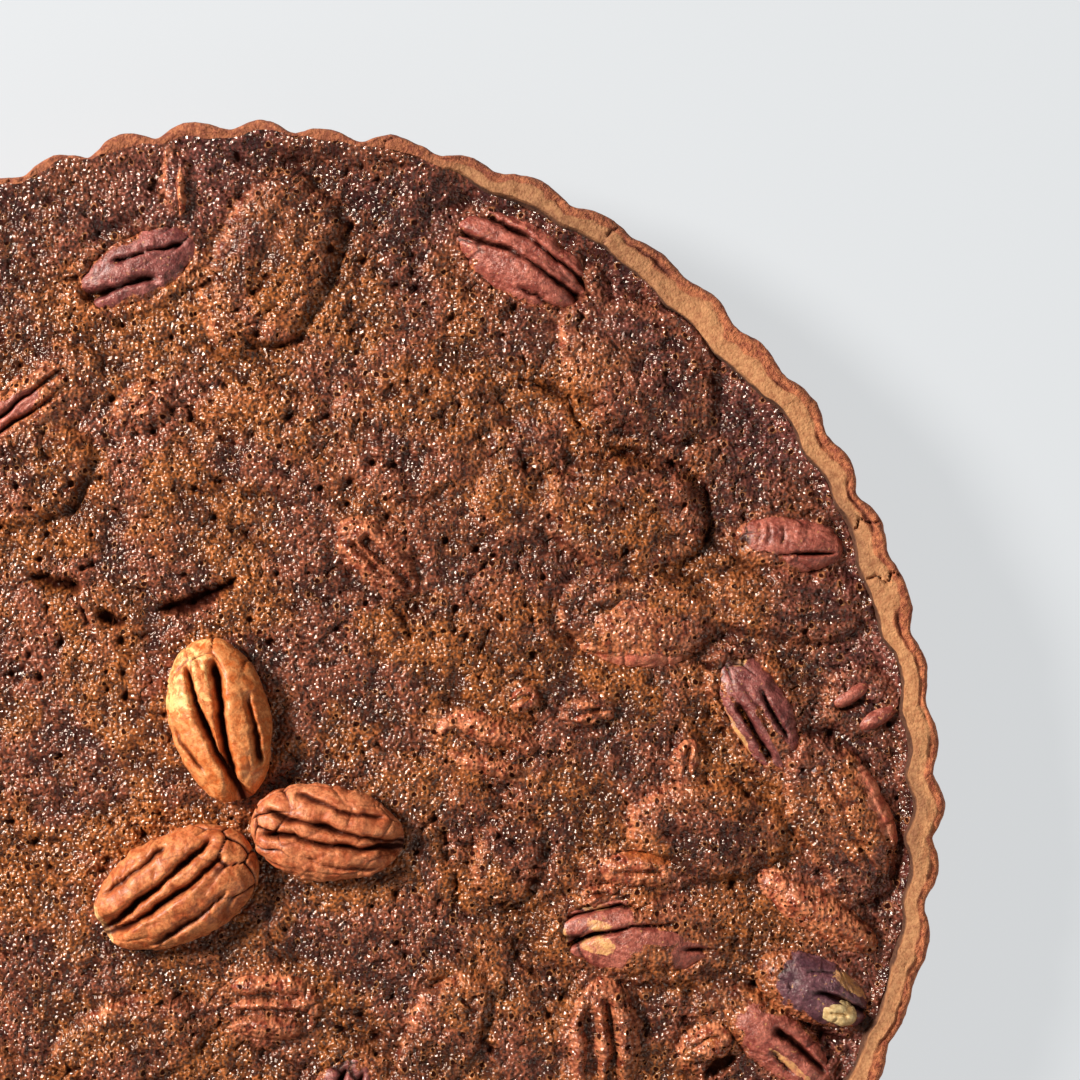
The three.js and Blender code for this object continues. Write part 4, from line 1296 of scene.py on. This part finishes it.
def build_loose_nuts(materials):
    for i, nut in enumerate(LOOSE_NUTS):
        bm, points, dark, u, v = nut_surface(nut, LOOSE_CREASES[i], i + 1, LOOSE_WRINKLES[i], 150, 92)
        points[:, 2] += seat_level(nut) - 0.15
        marks = {"crease": dark, "cream": loose_cream(i, u, v)}
        name = f"Toasted_pecan_{i + 1:02d}"
        finish_piece(name, bm, points, materials[i], [f"loose_pecan_{i + 1:02d}"], 80, marks)


def build_sunk_nuts(materials):
    for i, nut in enumerate(SUNK_NUTS):
        seed = 50 + 7 * i
        look = BAKED_LOOKS.get(i, {})
        creases = look.get("creases", USUAL_CREASES)
        bm, points, dark, u, v = nut_surface(nut, creases, seed, 1.0, 112, 68, look.get("dents", ()))
        points[:, 2] += nut_top(nut) - nut.get("thick", USUAL_THICKNESS)
        grain = 0.3 * rough(points, 2.4, 2, seed)
        bare = ovals(u, v, look.get("bare", USUAL_BARE), grain)
        marks = {"crease": dark, "cream": ovals(u, v, look.get("cream", []), grain), "film": 1 - bare}
        # The foam's veil is thinner round the bare skin, and on the side towards the window it is painted
        # thinner and lighter, as painted light.
        veil = look.get("veil", 0.2) * (0.8 + 0.5 * rough(points, 4, 2, seed + 9)) * (1 - 0.7 * dark)
        lit = (0.9 * (nut["x"] - points[:, 0]) + 0.44 * (points[:, 1] - nut["y"])) / (nut["length"] / 2)
        marks["thin_skin_and_lit_side"] = clamp01(veil * (1 + 0.45 * lit) + 0.4 * bell((bare - 0.4) / 0.35))
        name = f"Baked_pecan_{i + 1:02d}"
        tone = materials[look.get("tone", i % 3)]
        finish_piece(name, bm, points, tone, [f"sunk_pecan_{i + 1:02d}"], 80, marks)


def build_bits(materials):
    """Broken bits that stand out of the foam: slim slivers of bare skin, and veiled stubs."""
    for i, (x, y, heading, length, width, rise, tone) in enumerate(BITS):
        nut = dict(x=x, y=y, heading=heading, length=length, width=width, thick=BIT_THICKNESS)
        slim = width < SLIM_WIDTH
        creases = [] if slim else [([(-1.05, 0.1), (0, 0.25), (0.7, 0.05)], 0.5, 1.3)]
        bm, points, dark, u, v = nut_surface(nut, creases, 300 + 7 * i, 0.3 if slim else 1.6, 40, 28)
        level, _ = custard_top(np.array([float(x)]), np.array([float(y)]))
        points[:, 2] += level[0] + rise - BIT_THICKNESS
        grain = 0.4 * rough(points, 2, 2, 300 + i)
        bare = ovals(u, v, [(0, 0, 1.6, 1.6) if slim else (0.15, 0.1, 0.3, 0.3)], 2 * grain)
        cream = ovals(u, v, [] if slim else [(-0.4, 0.3, 0.3, 0.3)], grain)
        marks = {"crease": dark, "cream": cream, "film": 1 - bare, "thin_skin_and_lit_side": 0.9 - 0.6 * dark}
        finish_piece(f"Pecan_bit_{i + 1:02d}", bm, points, materials[tone], [], 80, marks)


def build_flesh(material):
    """The cream inside of the half that is broken at its open end."""
    nut = SUNK_NUTS[7]
    turn = math.radians(nut["heading"])
    u, v = -0.5 * nut["length"] / 2, 0.26 * nut["width"] / 2
    x = nut["x"] + u * math.cos(turn) - v * math.sin(turn)
    y = nut["y"] + u * math.sin(turn) + v * math.cos(turn)
    block = dict(x=x, y=y, heading=nut["heading"] + 6, length=7.2, width=5, thick=5)
    creases = [([(-0.55, 0), (-0.2, -0.16), (0.1, -0.05), (0.5, 0.1)], 0.25, 0.7)]
    bm, points, dark, _, _ = nut_surface(block, creases, 411, 0.9, 60, 44)
    points[:, 2] += nut_top(nut) - 4.1 + 0.35 * noise(points, 2.2, 412)
    finish_piece("Pecan_flesh_block", bm, points, material, [], 60, {"crease": dark})


# ---------------------------------------------------------------- studio


def build_studio():
    bm = bmesh.new()
    bmesh.ops.create_grid(bm, x_segments=1, y_segments=1, size=3)
    mesh = bpy.data.meshes.new("Floor")
    bm.to_mesh(mesh)
    bm.free()
    floor = bpy.data.objects.new("Floor", mesh)
    bpy.context.scene.collection.objects.link(floor)
    f = Finish("pale_floor", roughness=0.9)
    f.set("Base Color", colour(98, 99, 100))
    f.set("Emission Color", colour(228, 231, 233))
    f.set("Emission Strength", 0.79)
    mesh.materials.append(f.material)

    world = bpy.data.worlds.new("Studio")
    bpy.context.scene.world = world
    world.use_nodes = True
    world.node_tree.nodes["Background"].inputs["Color"].default_value = (0.96, 0.98, 1.0, 1)
    world.node_tree.nodes["Background"].inputs["Strength"].default_value = 0.16

    lights = [
        ("Window", (-0.82, 0.4, 0.66), 0.32, 24.5, (1.0, 0.98, 0.96)),
        ("Fill", (0.85, -0.75, 0.85), 1.1, 3.4, (1.0, 0.99, 0.97)),
    ]
    for name, place, size, power, tint in lights:
        data = bpy.data.lights.new(name, "AREA")
        data.shape = "DISK"
        data.size = size
        data.energy = power
        data.color = tint
        lamp = bpy.data.objects.new(name, data)
        lamp.location = place
        lamp.rotation_euler = (-Vector(place)).to_track_quat("-Z", "Y").to_euler()
        bpy.context.scene.collection.objects.link(lamp)

    data = bpy.data.cameras.new("Camera")
    data.lens = 100
    data.sensor_width = 36
    camera = bpy.data.objects.new("Camera", data)
    camera.location = (0.0518, 0.0488, 0.5805)
    bpy.context.scene.collection.objects.link(camera)
    bpy.context.scene.camera = camera
    bpy.context.scene.view_settings.view_transform = "Standard"


# Skin colours: dark, middle, light and cream.
TOASTED_TONES = {
    "tan": [(130, 54, 20), (206, 102, 42), (240, 158, 94), (248, 196, 122)],
    "brown": [(92, 32, 16), (186, 92, 52), (230, 142, 92), (240, 190, 130)],
    "amber": [(90, 32, 14), (180, 86, 42), (224, 138, 82), (240, 194, 130)],
}
TOASTED_ROUGHNESS = {"tan": 0.46, "brown": 0.48, "amber": 0.48}
BAKED_CREAM = (234, 172, 104)
BAKED_TONES = {
    "rose": [(62, 20, 16), (140, 62, 50), (204, 114, 92)],
    "maroon": [(44, 16, 16), (110, 48, 46), (176, 98, 88)],
    "russet": [(66, 22, 12), (146, 62, 32), (204, 112, 56)],
    "plum": [(34, 16, 22), (84, 46, 56), (134, 84, 88)],
    "salmon": [(112, 40, 30), (204, 102, 76), (244, 154, 114)],
}


build_studio()
build_case(crust_finish())
build_custard(custard_finish())
build_loose_nuts([
    pecan_finish(f"toasted_pecan_{name}", *(colour(*part) for part in parts), 0.1, TOASTED_ROUGHNESS[name])
    for name, parts in TOASTED_TONES.items()
])
baked_tones = [
    pecan_finish(
        f"baked_pecan_{name}", *(colour(*part) for part in parts), colour(*BAKED_CREAM), 0.12, 0.34,
        film=True,
    )
    for name, parts in BAKED_TONES.items()
]
build_sunk_nuts(baked_tones)
build_bits(baked_tones)
build_flesh(flesh_finish())
